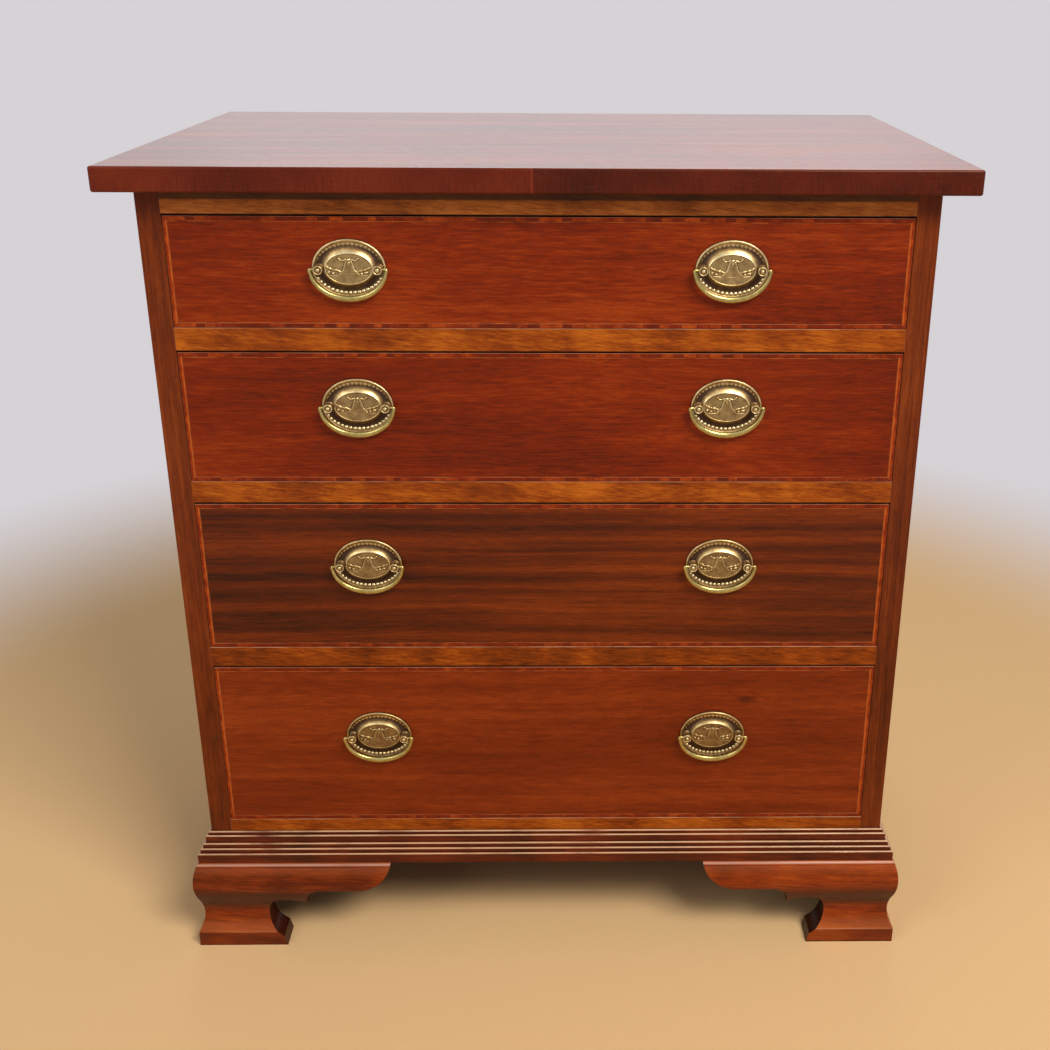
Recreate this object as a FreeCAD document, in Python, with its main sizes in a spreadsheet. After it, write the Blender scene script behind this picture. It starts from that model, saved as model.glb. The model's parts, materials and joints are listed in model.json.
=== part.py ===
"""Bachelor's chest: a mahogany carcase with four graduated drawers, oval brass bail pulls,
a stepped base moulding and ogee bracket feet.

Frame: X to the right as seen from the front, Y to the back, Z up. The origin is on the floor,
under the middle of the top board. Left and right are as seen from the front. Sizes are in
millimetres.
"""
import FreeCAD, Part
import math
import os
import Sketcher

SIZES = [
    # carcase
    ("carcase_width", 800, "outside of the side panels"),
    ("carcase_depth", 495, "front face to the outside of the back boards"),
    ("side_thick", 18, "side panel"),
    ("stile_width", 24, "front stile, seen from the front"),
    ("stile_depth", 22, "front stile, front to back"),
    ("rail_depth", 60, "rails, front to back"),
    ("rail_height", 24.6, "rails between the drawers"),
    ("top_rail_height", 25.5, "rail under the top"),
    ("bottom_rail_height", 15.7, "bottom rail, where it shows above the moulding"),
    ("tenon_height", 10, "stub tenon on a rail's end"),
    ("tenon_thick", 11, "stub tenon, front to back, in the middle of the stile"),
    ("tenon_length", 12, "stub tenon, into the stile"),
    ("top_thick", 25, "top board"),
    ("top_overhang", 31, "top board beyond the front and the sides"),
    ("back_overhang", 9, "top board beyond the back boards"),
    ("top_edge_round", 2.5, "rounding of the top board's edges"),
    ("back_thick", 10, "back boards"),
    ("back_rebate", 9, "width of the rebate that holds the back boards"),
    ("back_board_count", 4, "upright boards in the back"),
    ("bottom_thick", 15, "bottom board"),
    ("housing_depth", 6, "housing of the bottom board in its neighbours"),
    ("dust_thick", 6, "dust board"),
    ("dust_groove", 8, "depth of the groove that holds a dust board"),
    ("runner_width", 50, "drawer runner"),
    ("runner_height", 18, "drawer runner"),
    ("guide_height", 12, "strip that keeps a drawer straight"),
    ("guide_gap", 0.8, "between the strip and the drawer's side"),
    ("stop_length", 40, "drawer stop, along the rail"),
    ("stop_width", 6, "drawer stop, front to back"),
    ("stop_height", 6, "drawer stop"),
    ("stop_gap", 0.3, "between a stop and the drawer front"),
    ("stop_spacing", 400, "between the middles of a drawer's two stops"),
    # drawers, numbered from the top
    ("drawer_height_1", 113.4, "front of drawer 1"),
    ("drawer_height_2", 142, "front of drawer 2"),
    ("drawer_height_3", 173.4, "front of drawer 3"),
    ("drawer_height_4", 204.2, "front of drawer 4"),
    ("gap_below", 0.5, "under a drawer front"),
    ("gap_above", 1.6, "over a drawer front"),
    ("gap_beside", 0.8, "between a drawer front and a stile"),
    ("drawer_back_gap", 35, "between a drawer's back and the back boards"),
    ("front_thick", 20, "drawer front"),
    ("lining_thick", 9, "drawer side and drawer back"),
    ("drawer_bottom_thick", 6, "drawer bottom"),
    ("bottom_groove", 4, "depth of the groove that holds a drawer bottom"),
    ("bottom_rise", 8, "drawer bottom above the drawer's lower edge"),
    ("side_drop", 3, "drawer side below the top of its front"),
    ("back_drop", 14, "drawer back below the top of its front"),
    ("dovetail_lap", 5, "wood left in front of the tails"),
    ("dovetail_pitch", 38, "widest spacing of the tails"),
    ("dovetail_pin", 9, "pin between two tails, at its narrow end"),
    ("dovetail_slope", 0.16, "sideways slope of a tail, per millimetre of its length"),
    ("band_width", 4.6, "crossbanding round a drawer front"),
    ("band_thick", 1, "crossbanding, depth of the inlay"),
    # pulls
    ("pull_spacing", 386, "between the middles of a drawer's two pulls"),
    ("pull_lift_1", 5, "pull above the middle of drawer 1"),
    ("pull_lift_2", 14, "pull above the middle of drawer 2"),
    ("pull_lift_3", 16, "pull above the middle of drawer 3"),
    ("pull_lift_4", 14, "pull above the middle of drawer 4"),
    ("plate_width", 74.6, "oval backplate"),
    ("plate_height", 59, "oval backplate"),
    ("plate_thick", 1.2, "backplate, at the floor of its hollow ring"),
    ("plate_rim_height", 2.6, "rim in front of the drawer's face"),
    ("plate_rim_width", 2.6, "rim, seen from the front"),
    ("dome_foot_width", 55, "raised oval in the middle, where it meets the hollow ring"),
    ("dome_foot_height", 39, "raised oval, where it meets the hollow ring"),
    ("dome_width", 48, "raised oval, at its face"),
    ("dome_height", 32, "raised oval, at its face"),
    ("dome_stand", 4.2, "raised oval in front of the drawer's face"),
    ("boss_radius", 5.4, "seat of a post on the backplate"),
    ("boss_stand", 3.2, "seat of a post in front of the drawer's face"),
    ("post_spacing", 59.4, "between the two posts of a pull"),
    ("shank_radius", 2.2, "threaded shank of a post"),
    ("shank_clearance", 0.2, "hole round a shank"),
    ("neck_radius", 3.2, "post behind its head"),
    ("head_radius", 4.5, "head of a post"),
    ("head_length", 6.6, "head of a post, front to back"),
    ("button_radius", 2, "button on the head"),
    ("button_stand", 1.2, "button in front of the head"),
    ("nut_radius", 6, "nut, across its corners"),
    ("nut_height", 4, "nut"),
    ("shank_end", 2, "shank beyond the nut"),
    ("bail_stand", 8.6, "bail's pivot in front of the drawer's face"),
    ("bail_width", 76, "between the middles of the bail's two arms"),
    ("bail_drop", 30.6, "pivot to the middle of the bail's grip"),
    ("bail_radius", 2.4, "bail wire"),
    ("elbow_radius", 2.8, "knuckle at the top of a bail's arm"),
    ("pin_radius", 1.6, "pin at the end of a bail"),
    ("pin_clearance", 0.1, "hole round a pin"),
    ("pin_bite", 4, "pin inside a post's head"),
    # base moulding: each step stands further out than the one above
    ("bead_step", 3, "each bead beyond the one above"),
    ("bead_round", 2.2, "rounding of a bead's upper edge"),
    ("upper_bead_height", 4, "the two beads over the plain face"),
    ("plain_face_height", 5, "plain face"),
    ("lower_bead_height", 5.3, "the two beads under the plain face"),
    ("fascia_height", 12.4, "last and deepest step"),
    # ogee bracket feet: a projection is measured outwards from the carcase
    ("foot_height", 115, "floor to the moulding"),
    ("foot_inset", 10, "bracket's inner face behind the carcase's outside"),
    ("pad_height", 19, "upright pad at the foot's base"),
    ("pad_projection", 22.5, "pad"),
    ("waist_bow", 5.5, "depth of the hollow over the pad"),
    ("ogee_rise", 63, "height at which the hollow turns into the swell"),
    ("ogee_projection", 18, "projection at that height"),
    ("swell_bow", 4.6, "depth of the swell"),
    ("shoulder_drop", 5, "top of the swell below the moulding"),
    ("shoulder_projection", 18.5, "top of the swell"),
    ("shoulder_bow", 0.9, "rounding from the swell up to the moulding"),
    # scroll cut out of a bracket: widths are from the foot's outer corner, rises from the floor
    ("pad_width", 106.2, "pad on the floor"),
    ("lip_width", 102.7, "end of the pad's sloping edge"),
    ("lip_rise", 13, "end of the pad's sloping edge"),
    ("stem_width", 85.7, "narrowest part of the bracket"),
    ("stem_rise", 46, "narrowest part of the bracket"),
    ("stem_bow", 5.6, "curve from the pad to the stem"),
    ("arch_width", 106.5, "top of the round arch"),
    ("arch_rise", 63, "top of the round arch"),
    ("arch_bow", 6.3, "curve from the stem to the arch's top"),
    ("cusp_width", 132.7, "point between the arch and the cove"),
    ("cusp_rise", 56.6, "point between the arch and the cove"),
    ("cusp_bow", 1.5, "curve from the arch's top to the point"),
    ("cove_width", 150, "end of the cove"),
    ("cove_rise", 79, "end of the cove"),
    ("cove_bow", 6.9, "curve of the cove"),
    ("wing_flat_width", 195, "end of the wing's flat underside"),
    ("wing_flat_rise", 78.5, "end of the wing's flat underside"),
    ("wing_width", 235.7, "tip of the wing, at the moulding"),
    ("wing_bow", 9.4, "curve of the wing's rounded end"),
    ("block_width", 35, "glue block in a foot's corner"),
    ("block_lift", 4, "glue block above the floor"),
    ("back_bracket_width", 110, "plain bracket at the back"),
    ("back_bracket_thick", 18, "plain bracket at the back"),
]
DRAWER_COUNT = 4
DRAWERS = range(1, DRAWER_COUNT + 1)
UP = FreeCAD.Vector(0, 0, 1)
RIGHT = FreeCAD.Vector(1, 0, 0)
FORWARD = FreeCAD.Vector(0, -1, 0)
QUARTER_BOW = 1 - math.sqrt(0.5)  # sagitta of a quarter circle of radius 1

doc = FreeCAD.newDocument("BachelorsChest")
sheet = doc.addObject("Spreadsheet::Sheet", "Sizes")
for row, (alias, size, meaning) in enumerate(SIZES, start=1):
    sheet.set(f"A{row}", meaning)
    sheet.set(f"B{row}", str(size))
    sheet.setAlias(f"B{row}", alias)
doc.recompute()

# Places that several pieces share, as expressions of the sheet's sizes.
FRONT = "((Sizes.top_overhang - Sizes.back_overhang - Sizes.carcase_depth) / 2)"
BACK = f"({FRONT} + Sizes.carcase_depth)"
BACK_INSIDE = f"({BACK} - Sizes.back_thick)"
HALF = "(Sizes.carcase_width / 2)"
HALF_INSIDE = f"({HALF} - Sizes.side_thick)"
HALF_OPENING = f"({HALF} - Sizes.stile_width)"
HALF_DRAWER = f"({HALF_OPENING} - Sizes.gap_beside)"
HALF_LINING = f"({HALF_DRAWER} - Sizes.lining_thick)"
BEHIND_RAIL = f"({FRONT} + Sizes.rail_depth)"
UPPER_BEAD_COUNT = 2
LOWER_BEAD_COUNT = 2
BEADS = (
    f"({UPPER_BEAD_COUNT} * Sizes.upper_bead_height"
    f" + {LOWER_BEAD_COUNT} * Sizes.lower_bead_height)"
)
MOULDING_TOP = f"(Sizes.foot_height + {BEADS} + Sizes.plain_face_height + Sizes.fascia_height)"
STEP_COUNT = UPPER_BEAD_COUNT + LOWER_BEAD_COUNT + 1
MOULDING_OUT = f"({STEP_COUNT} * Sizes.bead_step)"

# Heights of the four openings: the floor and the ceiling of each, from the bottom drawer upwards.
FLOOR = {DRAWER_COUNT: f"({MOULDING_TOP} + Sizes.bottom_rail_height)"}
CEILING = {}
for number in reversed(DRAWERS):
    stack = f"Sizes.gap_below + Sizes.drawer_height_{number} + Sizes.gap_above"
    CEILING[number] = f"({FLOOR[number]} + {stack})"
    FLOOR[number - 1] = f"({CEILING[number]} + Sizes.rail_height)"
TOP_UNDERSIDE = f"({CEILING[1]} + Sizes.top_rail_height)"
TOP_SURFACE = f"({TOP_UNDERSIDE} + Sizes.top_thick)"


def value(expression):
    """The number that an expression of the sheet's sizes gives."""
    return float(sheet.evalExpression(expression))


def both_ways(half):
    """The two ends of a length that is centred on zero."""
    return f"(-{half})", half


def box(label, x, y, z):
    """A rectangular piece between a low and a high limit on each axis."""
    piece = doc.addObject("Part::Box", label)
    for side, axis, (low, high) in zip(("Length", "Width", "Height"), "xyz", (x, y, z)):
        piece.setExpression(side, f"({high}) - ({low})")
        piece.setExpression(f"Placement.Base.{axis}", low)
    return piece


def wedge(label, y, x_front, z_front, x_back, z_back):
    """A block whose cross-section changes evenly from its front end to its back end."""
    piece = doc.addObject("Part::Wedge", label)
    limits = {"Y": y, "X": x_front, "Z": z_front, "X2": x_back, "Z2": z_back}
    for name, (low, high) in limits.items():
        head, tail = name[0], name[1:]
        piece.setExpression(f"{head}{tail}min", low)
        piece.setExpression(f"{head}{tail}max", high)
    return piece


def stand(piece, base, direction):
    """Turn a piece's own Z axis to a direction, and put its base at a point."""
    piece.Placement = FreeCAD.Placement(FreeCAD.Vector(), FreeCAD.Rotation(UP, direction))
    for axis, place in zip("xyz", base):
        piece.setExpression(f"Placement.Base.{axis}", place)
    return piece


def cylinder(label, radius, height, base, direction):
    piece = doc.addObject("Part::Cylinder", label)
    piece.setExpression("Radius", radius)
    piece.setExpression("Height", height)
    return stand(piece, base, direction)


def sphere(label, radius, centre):
    piece = doc.addObject("Part::Sphere", label)
    piece.setExpression("Radius", radius)
    return stand(piece, centre, UP)


def oval(label, width, height, centre, first_angle=0, last_angle=360):
    """An upright ellipse, facing forwards."""
    curve = doc.addObject("Part::Ellipse", label)
    curve.setExpression("MajorRadius", f"({width}) / 2")
    curve.setExpression("MinorRadius", f"({height}) / 2")
    curve.Angle1 = first_angle
    curve.Angle2 = last_angle
    return stand(curve, centre, FORWARD)


def frustum(label, back_oval, front_oval):
    """A solid between two ovals."""
    piece = doc.addObject("Part::Loft", label)
    piece.Sections = [back_oval, front_oval]
    piece.Solid = True
    piece.Ruled = True
    return piece


def join(label, *pieces):
    piece = doc.addObject("Part::MultiFuse", label)
    piece.Shapes = list(pieces)
    return piece


def overlap(label, *pieces):
    piece = doc.addObject("Part::MultiCommon", label)
    piece.Shapes = list(pieces)
    return piece


def group(label, *pieces):
    """Separate solids that share one node."""
    piece = doc.addObject("Part::Compound", label)
    piece.Links = list(pieces)
    return piece


def carve(label, blank, *tools):
    """Cut each tool out of a blank in turn."""
    for step, tool in enumerate(tools, start=1):
        name = label if step == len(tools) else f"{label}_cut_{step}"
        piece = doc.addObject("Part::Cut", name)
        piece.Base = blank
        piece.Tool = tool
        blank = piece
    return blank


def mirror(label, source):
    """The right-hand twin of a left-hand piece."""
    piece = doc.addObject("Part::Mirroring", label)
    piece.Source = source
    piece.Normal = RIGHT
    return piece


def draw(sketch, corners, bows):
    """Close a sketch through its corners, each a pair of expressions.

    bows maps a side's number to the sagitta of its arc. A side bows to its left as the corners
    run, or to its right where the sagitta has a leading minus.
    """
    places = [FreeCAD.Vector(value(across), value(up), 0) for across, up in corners]
    ends = []
    for side, (start, end) in enumerate(zip(places, places[1:] + places[:1])):
        if side not in bows:
            sketch.addGeometry(Part.LineSegment(start, end), False)
            ends.append((1, 2))
            continue
        to_left = not bows[side].startswith("-")
        chord = end - start
        outwards = FreeCAD.Vector(-chord.y, chord.x, 0).normalize() * value(bows[side])
        crown = (start + end) * 0.5 + outwards
        first, last = (end, start) if to_left else (start, end)
        sketch.addGeometry(Part.Arc(first, crown, last), False)
        ends.append((2, 1) if to_left else (1, 2))
    count = len(corners)
    for side, (across, up) in enumerate(corners):
        previous = (side - 1) % count
        start = ends[side][0]
        meeting = Sketcher.Constraint("Coincident", previous, ends[previous][1], side, start)
        sketch.addConstraint(meeting)
        for kind, place in (("DistanceX", across), ("DistanceY", up)):
            distance = Sketcher.Constraint(kind, -1, 1, side, start, value(place))
            number = sketch.addConstraint(distance)
            sketch.setExpression(f"Constraints[{number}]", place)
    for side, bow in bows.items():
        (across, up), (next_across, next_up) = corners[side], corners[(side + 1) % count]
        sagitta = f"({bow.lstrip('-')})"
        square = f"((({next_across}) - ({across})) ^ 2 + (({next_up}) - ({up})) ^ 2)"
        radius = f"{square} / 8 / {sagitta} + {sagitta} / 2"
        number = sketch.addConstraint(Sketcher.Constraint("Radius", side, value(radius)))
        sketch.setExpression(f"Constraints[{number}]", radius)


def profiled(label, plane, corners, low, high, bows=None):
    """A body of one outline, carried between two limits along the normal of its plane."""
    body = doc.addObject("PartDesign::Body", label)
    sketch = body.newObject("Sketcher::SketchObject", f"{label}_outline")
    support = next(feature for feature in body.Origin.OriginFeatures if feature.Role == plane)
    sketch.AttachmentSupport = [(support, "")]
    sketch.MapMode = "FlatFace"
    # The normal of the XZ plane points forwards, against Y.
    start = f"(-({high}))" if plane == "XZ_Plane" else low
    sketch.setExpression("AttachmentOffset.Base.z", start)
    draw(sketch, corners, bows or {})
    pad = body.newObject("PartDesign::Pad", f"{label}_pad")
    pad.Profile = sketch
    pad.setExpression("Length", f"({high}) - ({low})")
    return body


# ---------------------------------------------------------------- carcase


def make_top():
    """The top board, its edges all slightly rounded."""
    half_depth = "((Sizes.carcase_depth + Sizes.top_overhang + Sizes.back_overhang) / 2)"
    left, right = both_ways(f"({HALF} + Sizes.top_overhang)")
    front, back = both_ways(half_depth)
    corners = [(left, front), (right, front), (right, back), (left, back)]
    body = profiled("top_board", "XY_Plane", corners, TOP_UNDERSIDE, TOP_SURFACE)
    doc.recompute()
    rounding = body.newObject("PartDesign::Fillet", "top_edge_rounding")
    rounding.Base = (body.Group[1], ["Face1"])
    rounding.UseAllEdges = True
    rounding.setExpression("Radius", "Sizes.top_edge_round")
    body.Tip = rounding
    return [body]


def make_back():
    """Upright boards side by side, in the rebates of the side panels."""
    half = f"({HALF} - Sizes.side_thick + Sizes.back_rebate)"
    count = int(value("Sizes.back_board_count"))
    width = f"(2 * {half} / {count})"
    boards = [
        box(
            f"back_board_{board + 1}",
            (f"(-{half} + {board} * {width})", f"(-{half} + {board + 1} * {width})"),
            (BACK_INSIDE, BACK),
            ("Sizes.foot_height", TOP_UNDERSIDE),
        )
        for board in range(count)
    ]
    return [group("back_boards", *boards)]


def make_bottom():
    """The bottom board before it is notched for the stiles."""
    half = f"({HALF_INSIDE} + Sizes.housing_depth)"
    front = f"({FRONT} + Sizes.stile_depth - Sizes.housing_depth)"
    top = FLOOR[DRAWER_COUNT]
    underside = f"({top} - Sizes.bottom_thick)"
    return box("bottom_board_blank", both_ways(half), (front, BACK_INSIDE), (underside, top))


def rail(label, bottom, top, depth):
    """A front rail between the stiles, with a stub tenon at each end."""
    middle = f"(({bottom} + {top}) / 2)"
    stile_middle = f"({FRONT} + Sizes.stile_depth / 2)"
    bar = box(f"{label}_bar", both_ways(HALF_OPENING), (FRONT, f"({FRONT} + {depth})"), (bottom, top))
    tenon = box(
        f"{label}_tenon",
        both_ways(f"({HALF_OPENING} + Sizes.tenon_length)"),
        (f"({stile_middle} - Sizes.tenon_thick / 2)", f"({stile_middle} + Sizes.tenon_thick / 2)"),
        (f"({middle} - Sizes.tenon_height / 2)", f"({middle} + Sizes.tenon_height / 2)"),
    )
    return join(f"{label}_blank", bar, tenon)


def dust_level(number):
    """Underside and upper side of the dust board below a drawer."""
    middle = f"({FLOOR[number]} - Sizes.runner_height / 2)"
    return f"({middle} - Sizes.dust_thick / 2)", f"({middle} + Sizes.dust_thick / 2)"


def make_dust_board(number):
    half = f"({HALF_INSIDE} - Sizes.runner_width + Sizes.dust_groove)"
    front = f"({BEHIND_RAIL} - Sizes.dust_groove)"
    return box(f"dust_board_{number}", both_ways(half), (front, BACK_INSIDE), dust_level(number))


def make_guide(number, front):
    """The strip beside a drawer, filling the space between the side panel and the drawer."""
    inner = f"({HALF_DRAWER} + Sizes.guide_gap)"
    top = f"({FLOOR[number]} + Sizes.guide_height)"
    across = (f"(-{HALF_INSIDE})", f"(-{inner})")
    return box(f"guide_{number}", across, (front, BACK_INSIDE), (FLOOR[number], top))


def make_runner(number, dust_board):
    """The left runner of a drawer, with its guide strip and the groove for the dust board."""
    inner = f"({HALF_INSIDE} - Sizes.runner_width)"
    bar = box(
        f"runner_bar_{number}",
        (f"(-{HALF_INSIDE})", f"(-{inner})"),
        (BEHIND_RAIL, BACK_INSIDE),
        (f"({FLOOR[number]} - Sizes.runner_height)", FLOOR[number]),
    )
    whole = join(f"runner_whole_{number}", bar, make_guide(number, BEHIND_RAIL))
    return carve(f"runner_{number}", whole, dust_board)


def make_kicker():
    """The strip over the top drawer's side, which keeps it level when it is pulled out."""
    inner = f"({HALF_INSIDE} - Sizes.runner_width)"
    across = (f"(-{HALF_INSIDE})", f"(-{inner})")
    return box("kicker", across, (BEHIND_RAIL, BACK_INSIDE), (CEILING[1], TOP_UNDERSIDE))


def make_stops():
    """Two small blocks behind each drawer front, which stop the drawer flush."""
    front = f"({FRONT} + Sizes.front_thick + Sizes.stop_gap)"
    blocks = []
    for number in DRAWERS:
        for side, sign in (("left", "-"), ("right", "")):
            middle = f"({sign}Sizes.stop_spacing / 2)"
            blocks.append(
                box(
                    f"stop_{number}_{side}",
                    (f"({middle} - Sizes.stop_length / 2)", f"({middle} + Sizes.stop_length / 2)"),
                    (front, f"({front} + Sizes.stop_width)"),
                    (FLOOR[number], f"({FLOOR[number]} + Sizes.stop_height)"),
                )
            )
    return group("drawer_stops", *blocks)


def make_carcase():
    """Everything that stays still between the base moulding and the top."""
    bottom_blank = make_bottom()
    dust_boards = {number: make_dust_board(number) for number in DRAWERS[:-1]}
    panel_height = ("Sizes.foot_height", TOP_UNDERSIDE)
    inside_half = f"({HALF_INSIDE} + Sizes.back_rebate)"
    rebate = box("back_rebate_tool", both_ways(inside_half), (BACK_INSIDE, BACK), panel_height)
    rails = {
        number: rail(f"drawer_rail_{number}", CEILING[number + 1], FLOOR[number], "Sizes.rail_depth")
        for number in DRAWERS[:-1]
    }
    top_rail = rail("top_rail", CEILING[1], TOP_UNDERSIDE, "Sizes.rail_depth")
    bottom_rail = rail("bottom_rail", "Sizes.foot_height", FLOOR[DRAWER_COUNT], "Sizes.stile_depth")

    panel = box(
        "side_panel_blank",
        (f"(-{HALF})", f"(-{HALF_INSIDE})"),
        (f"({FRONT} + Sizes.stile_depth)", BACK),
        panel_height,
    )
    stile = box(
        "front_stile_blank",
        (f"(-{HALF})", f"(-{HALF_OPENING})"),
        (FRONT, f"({FRONT} + Sizes.stile_depth)"),
        panel_height,
    )
    side_left = carve("side_panel_left", panel, rebate, bottom_blank)
    stile_left = carve("front_stile_left", stile, *rails.values(), top_rail, bottom_rail)
    bottom_board = carve("bottom_board", bottom_blank, stile_left, mirror("stile_right_tool", stile_left))
    back_rail = box(
        "top_rail_back",
        both_ways(HALF_INSIDE),
        (f"({BACK_INSIDE} - Sizes.rail_depth)", BACK_INSIDE),
        (CEILING[1], TOP_UNDERSIDE),
    )
    runners = [make_runner(number, dust_boards[number]) for number in DRAWERS[:-1]]
    low_guide = make_guide(DRAWER_COUNT, f"({FRONT} + Sizes.stile_depth)")
    kicker = carve("kicker_left", make_kicker(), back_rail)
    left_strips = runners + [low_guide, kicker]
    right_strips = [mirror(f"{strip.Label}_right", strip) for strip in left_strips]
    return [
        side_left,
        mirror("side_panel_right", side_left),
        stile_left,
        mirror("front_stile_right", stile_left),
        group("top_rails", top_rail, back_rail),
        *(carve(f"drawer_rail_{number}", rails[number], dust_boards[number]) for number in rails),
        carve("bottom_rail", bottom_rail, bottom_blank),
        bottom_board,
        group("dust_boards", *dust_boards.values()),
        group("drawer_runners", *left_strips, *right_strips),
        make_stops(),
    ]


# ---------------------------------------------------------------- base


def moulding_outline(outward):
    """Corners and bows of the stepped moulding.

    outward turns a projection into a place, which falls as the projection grows.
    """
    step_heights = ["Sizes.upper_bead_height"] * UPPER_BEAD_COUNT
    step_heights += ["Sizes.lower_bead_height"] * LOWER_BEAD_COUNT + ["Sizes.fascia_height"]
    corners = [(outward("0"), MOULDING_TOP)]
    bows = {}
    level = MOULDING_TOP
    for step, height in enumerate(step_heights, start=1):
        edge = f"({step} * Sizes.bead_step)"
        corners.append((outward(f"({edge} - Sizes.bead_round)"), level))
        bows[len(corners) - 1] = f"-{QUARTER_BOW} * Sizes.bead_round"
        corners.append((outward(edge), f"({level} - Sizes.bead_round)"))
        level = f"({level} - {height})"
        if step == UPPER_BEAD_COUNT:
            level = f"({level} - Sizes.plain_face_height)"
        corners.append((outward(edge), level))
    corners.append((outward("0"), "Sizes.foot_height"))
    return corners, bows


def ogee_outline(outward):
    """Corners and bows of a foot's section.

    outward turns a projection into a place, which falls as the projection grows.
    """
    corners = [
        (outward("(-Sizes.foot_inset)"), "0"),
        (outward("Sizes.pad_projection"), "0"),
        (outward("Sizes.pad_projection"), "Sizes.pad_height"),
        (outward("Sizes.ogee_projection"), "Sizes.ogee_rise"),
        (outward("Sizes.shoulder_projection"), "(Sizes.foot_height - Sizes.shoulder_drop)"),
        (outward(MOULDING_OUT), "Sizes.foot_height"),
        (outward("(-Sizes.foot_inset)"), "Sizes.foot_height"),
    ]
    return corners, {2: "-Sizes.waist_bow", 3: "Sizes.swell_bow", 4: "Sizes.shoulder_bow"}


def scroll_outline(inward, outer_edge):
    """Corners and bows of a bracket's scroll.

    inward turns a width into a place, which grows with the width.
    """
    names = ("lip", "stem", "arch", "cusp", "cove", "wing_flat")
    corners = [(inward(outer_edge), "0"), (inward("Sizes.pad_width"), "0")]
    corners += [(inward(f"Sizes.{name}_width"), f"Sizes.{name}_rise") for name in names]
    corners += [(inward("Sizes.wing_width"), "Sizes.foot_height"), (inward(outer_edge), "Sizes.foot_height")]
    bows = {side: f"Sizes.{name}_bow" for side, name in enumerate(names[1:-1], start=2)}
    bows[len(corners) - 3] = "-Sizes.wing_bow"
    return corners, bows


def turned(bows):
    """The same arcs for an outline drawn the other way round, which swaps left and right."""
    return {side: bow[1:] if bow.startswith("-") else f"-{bow}" for side, bow in bows.items()}


REACH = "(Sizes.pad_projection + Sizes.swell_bow + Sizes.foot_inset)"
OUTER_LEFT = f"(-{HALF} - Sizes.pad_projection)"
OUTER_FRONT = f"({FRONT} - Sizes.pad_projection)"


def make_mitre_block():
    """Everything in front of the two mitre planes, which run at 45 degrees through the corners."""
    height = ("0", MOULDING_TOP)
    return wedge(
        "mitre_block",
        (f"({FRONT} - {REACH})", f"({FRONT} + {REACH})"),
        both_ways(f"({HALF} + {REACH})"),
        height,
        both_ways(f"({HALF} - {REACH})"),
        height,
    )


def make_moulding(mitre_block):
    """Three lengths, mitred at the front corners."""
    corners, bows = moulding_outline(lambda out: f"({FRONT} - {out})")
    front = profiled("moulding_front_bar", "YZ_Plane", corners, *both_ways(f"({HALF} + {REACH})"), bows)
    corners, bows = moulding_outline(lambda out: f"(-{HALF} - {out})")
    side = profiled("moulding_side_bar", "XZ_Plane", corners, f"({FRONT} - {REACH})", BACK, bows)
    side_left = carve("moulding_left", side, mitre_block)
    return group(
        "base_moulding",
        overlap("moulding_front", front, mitre_block),
        side_left,
        mirror("moulding_right", side_left),
    )


def make_front_foot(mitre_block):
    """Two ogee brackets mitred at the corner, with a glue block behind them."""
    inner_x = f"(-{HALF} + Sizes.foot_inset)"
    inner_y = f"({FRONT} + Sizes.foot_inset)"
    section, section_bows = ogee_outline(lambda out: f"({FRONT} - {out})")
    bar = profiled(
        "front_bracket_bar",
        "YZ_Plane",
        section,
        f"(-{HALF} - {REACH})",
        f"({OUTER_LEFT} + Sizes.wing_width + {REACH})",
        section_bows,
    )
    scroll, scroll_bows = scroll_outline(lambda width: f"({OUTER_LEFT} + {width})", f"(-{REACH})")
    cut = profiled(
        "front_bracket_scroll",
        "XZ_Plane",
        scroll,
        f"({FRONT} - {REACH})",
        f"({FRONT} + {REACH})",
        scroll_bows,
    )
    front_bracket = overlap("front_bracket", bar, cut, mitre_block)

    section, section_bows = ogee_outline(lambda out: f"(-{HALF} - {out})")
    bar = profiled(
        "side_bracket_bar",
        "XZ_Plane",
        section,
        f"({FRONT} - {REACH})",
        f"({OUTER_FRONT} + Sizes.wing_width + {REACH})",
        section_bows,
    )
    scroll, scroll_bows = scroll_outline(lambda width: f"({OUTER_FRONT} + {width})", f"(-{REACH})")
    cut = profiled(
        "side_bracket_scroll",
        "YZ_Plane",
        scroll,
        f"(-{HALF} - {REACH})",
        f"(-{HALF} + {REACH})",
        scroll_bows,
    )
    side_bracket = carve("side_bracket", overlap("side_bracket_blank", bar, cut), mitre_block)
    block = box(
        "front_glue_block",
        (inner_x, f"({inner_x} + Sizes.block_width)"),
        (inner_y, f"({inner_y} + Sizes.block_width)"),
        ("Sizes.block_lift", "Sizes.foot_height"),
    )
    return group("foot_front_left", front_bracket, side_bracket, block)


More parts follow.
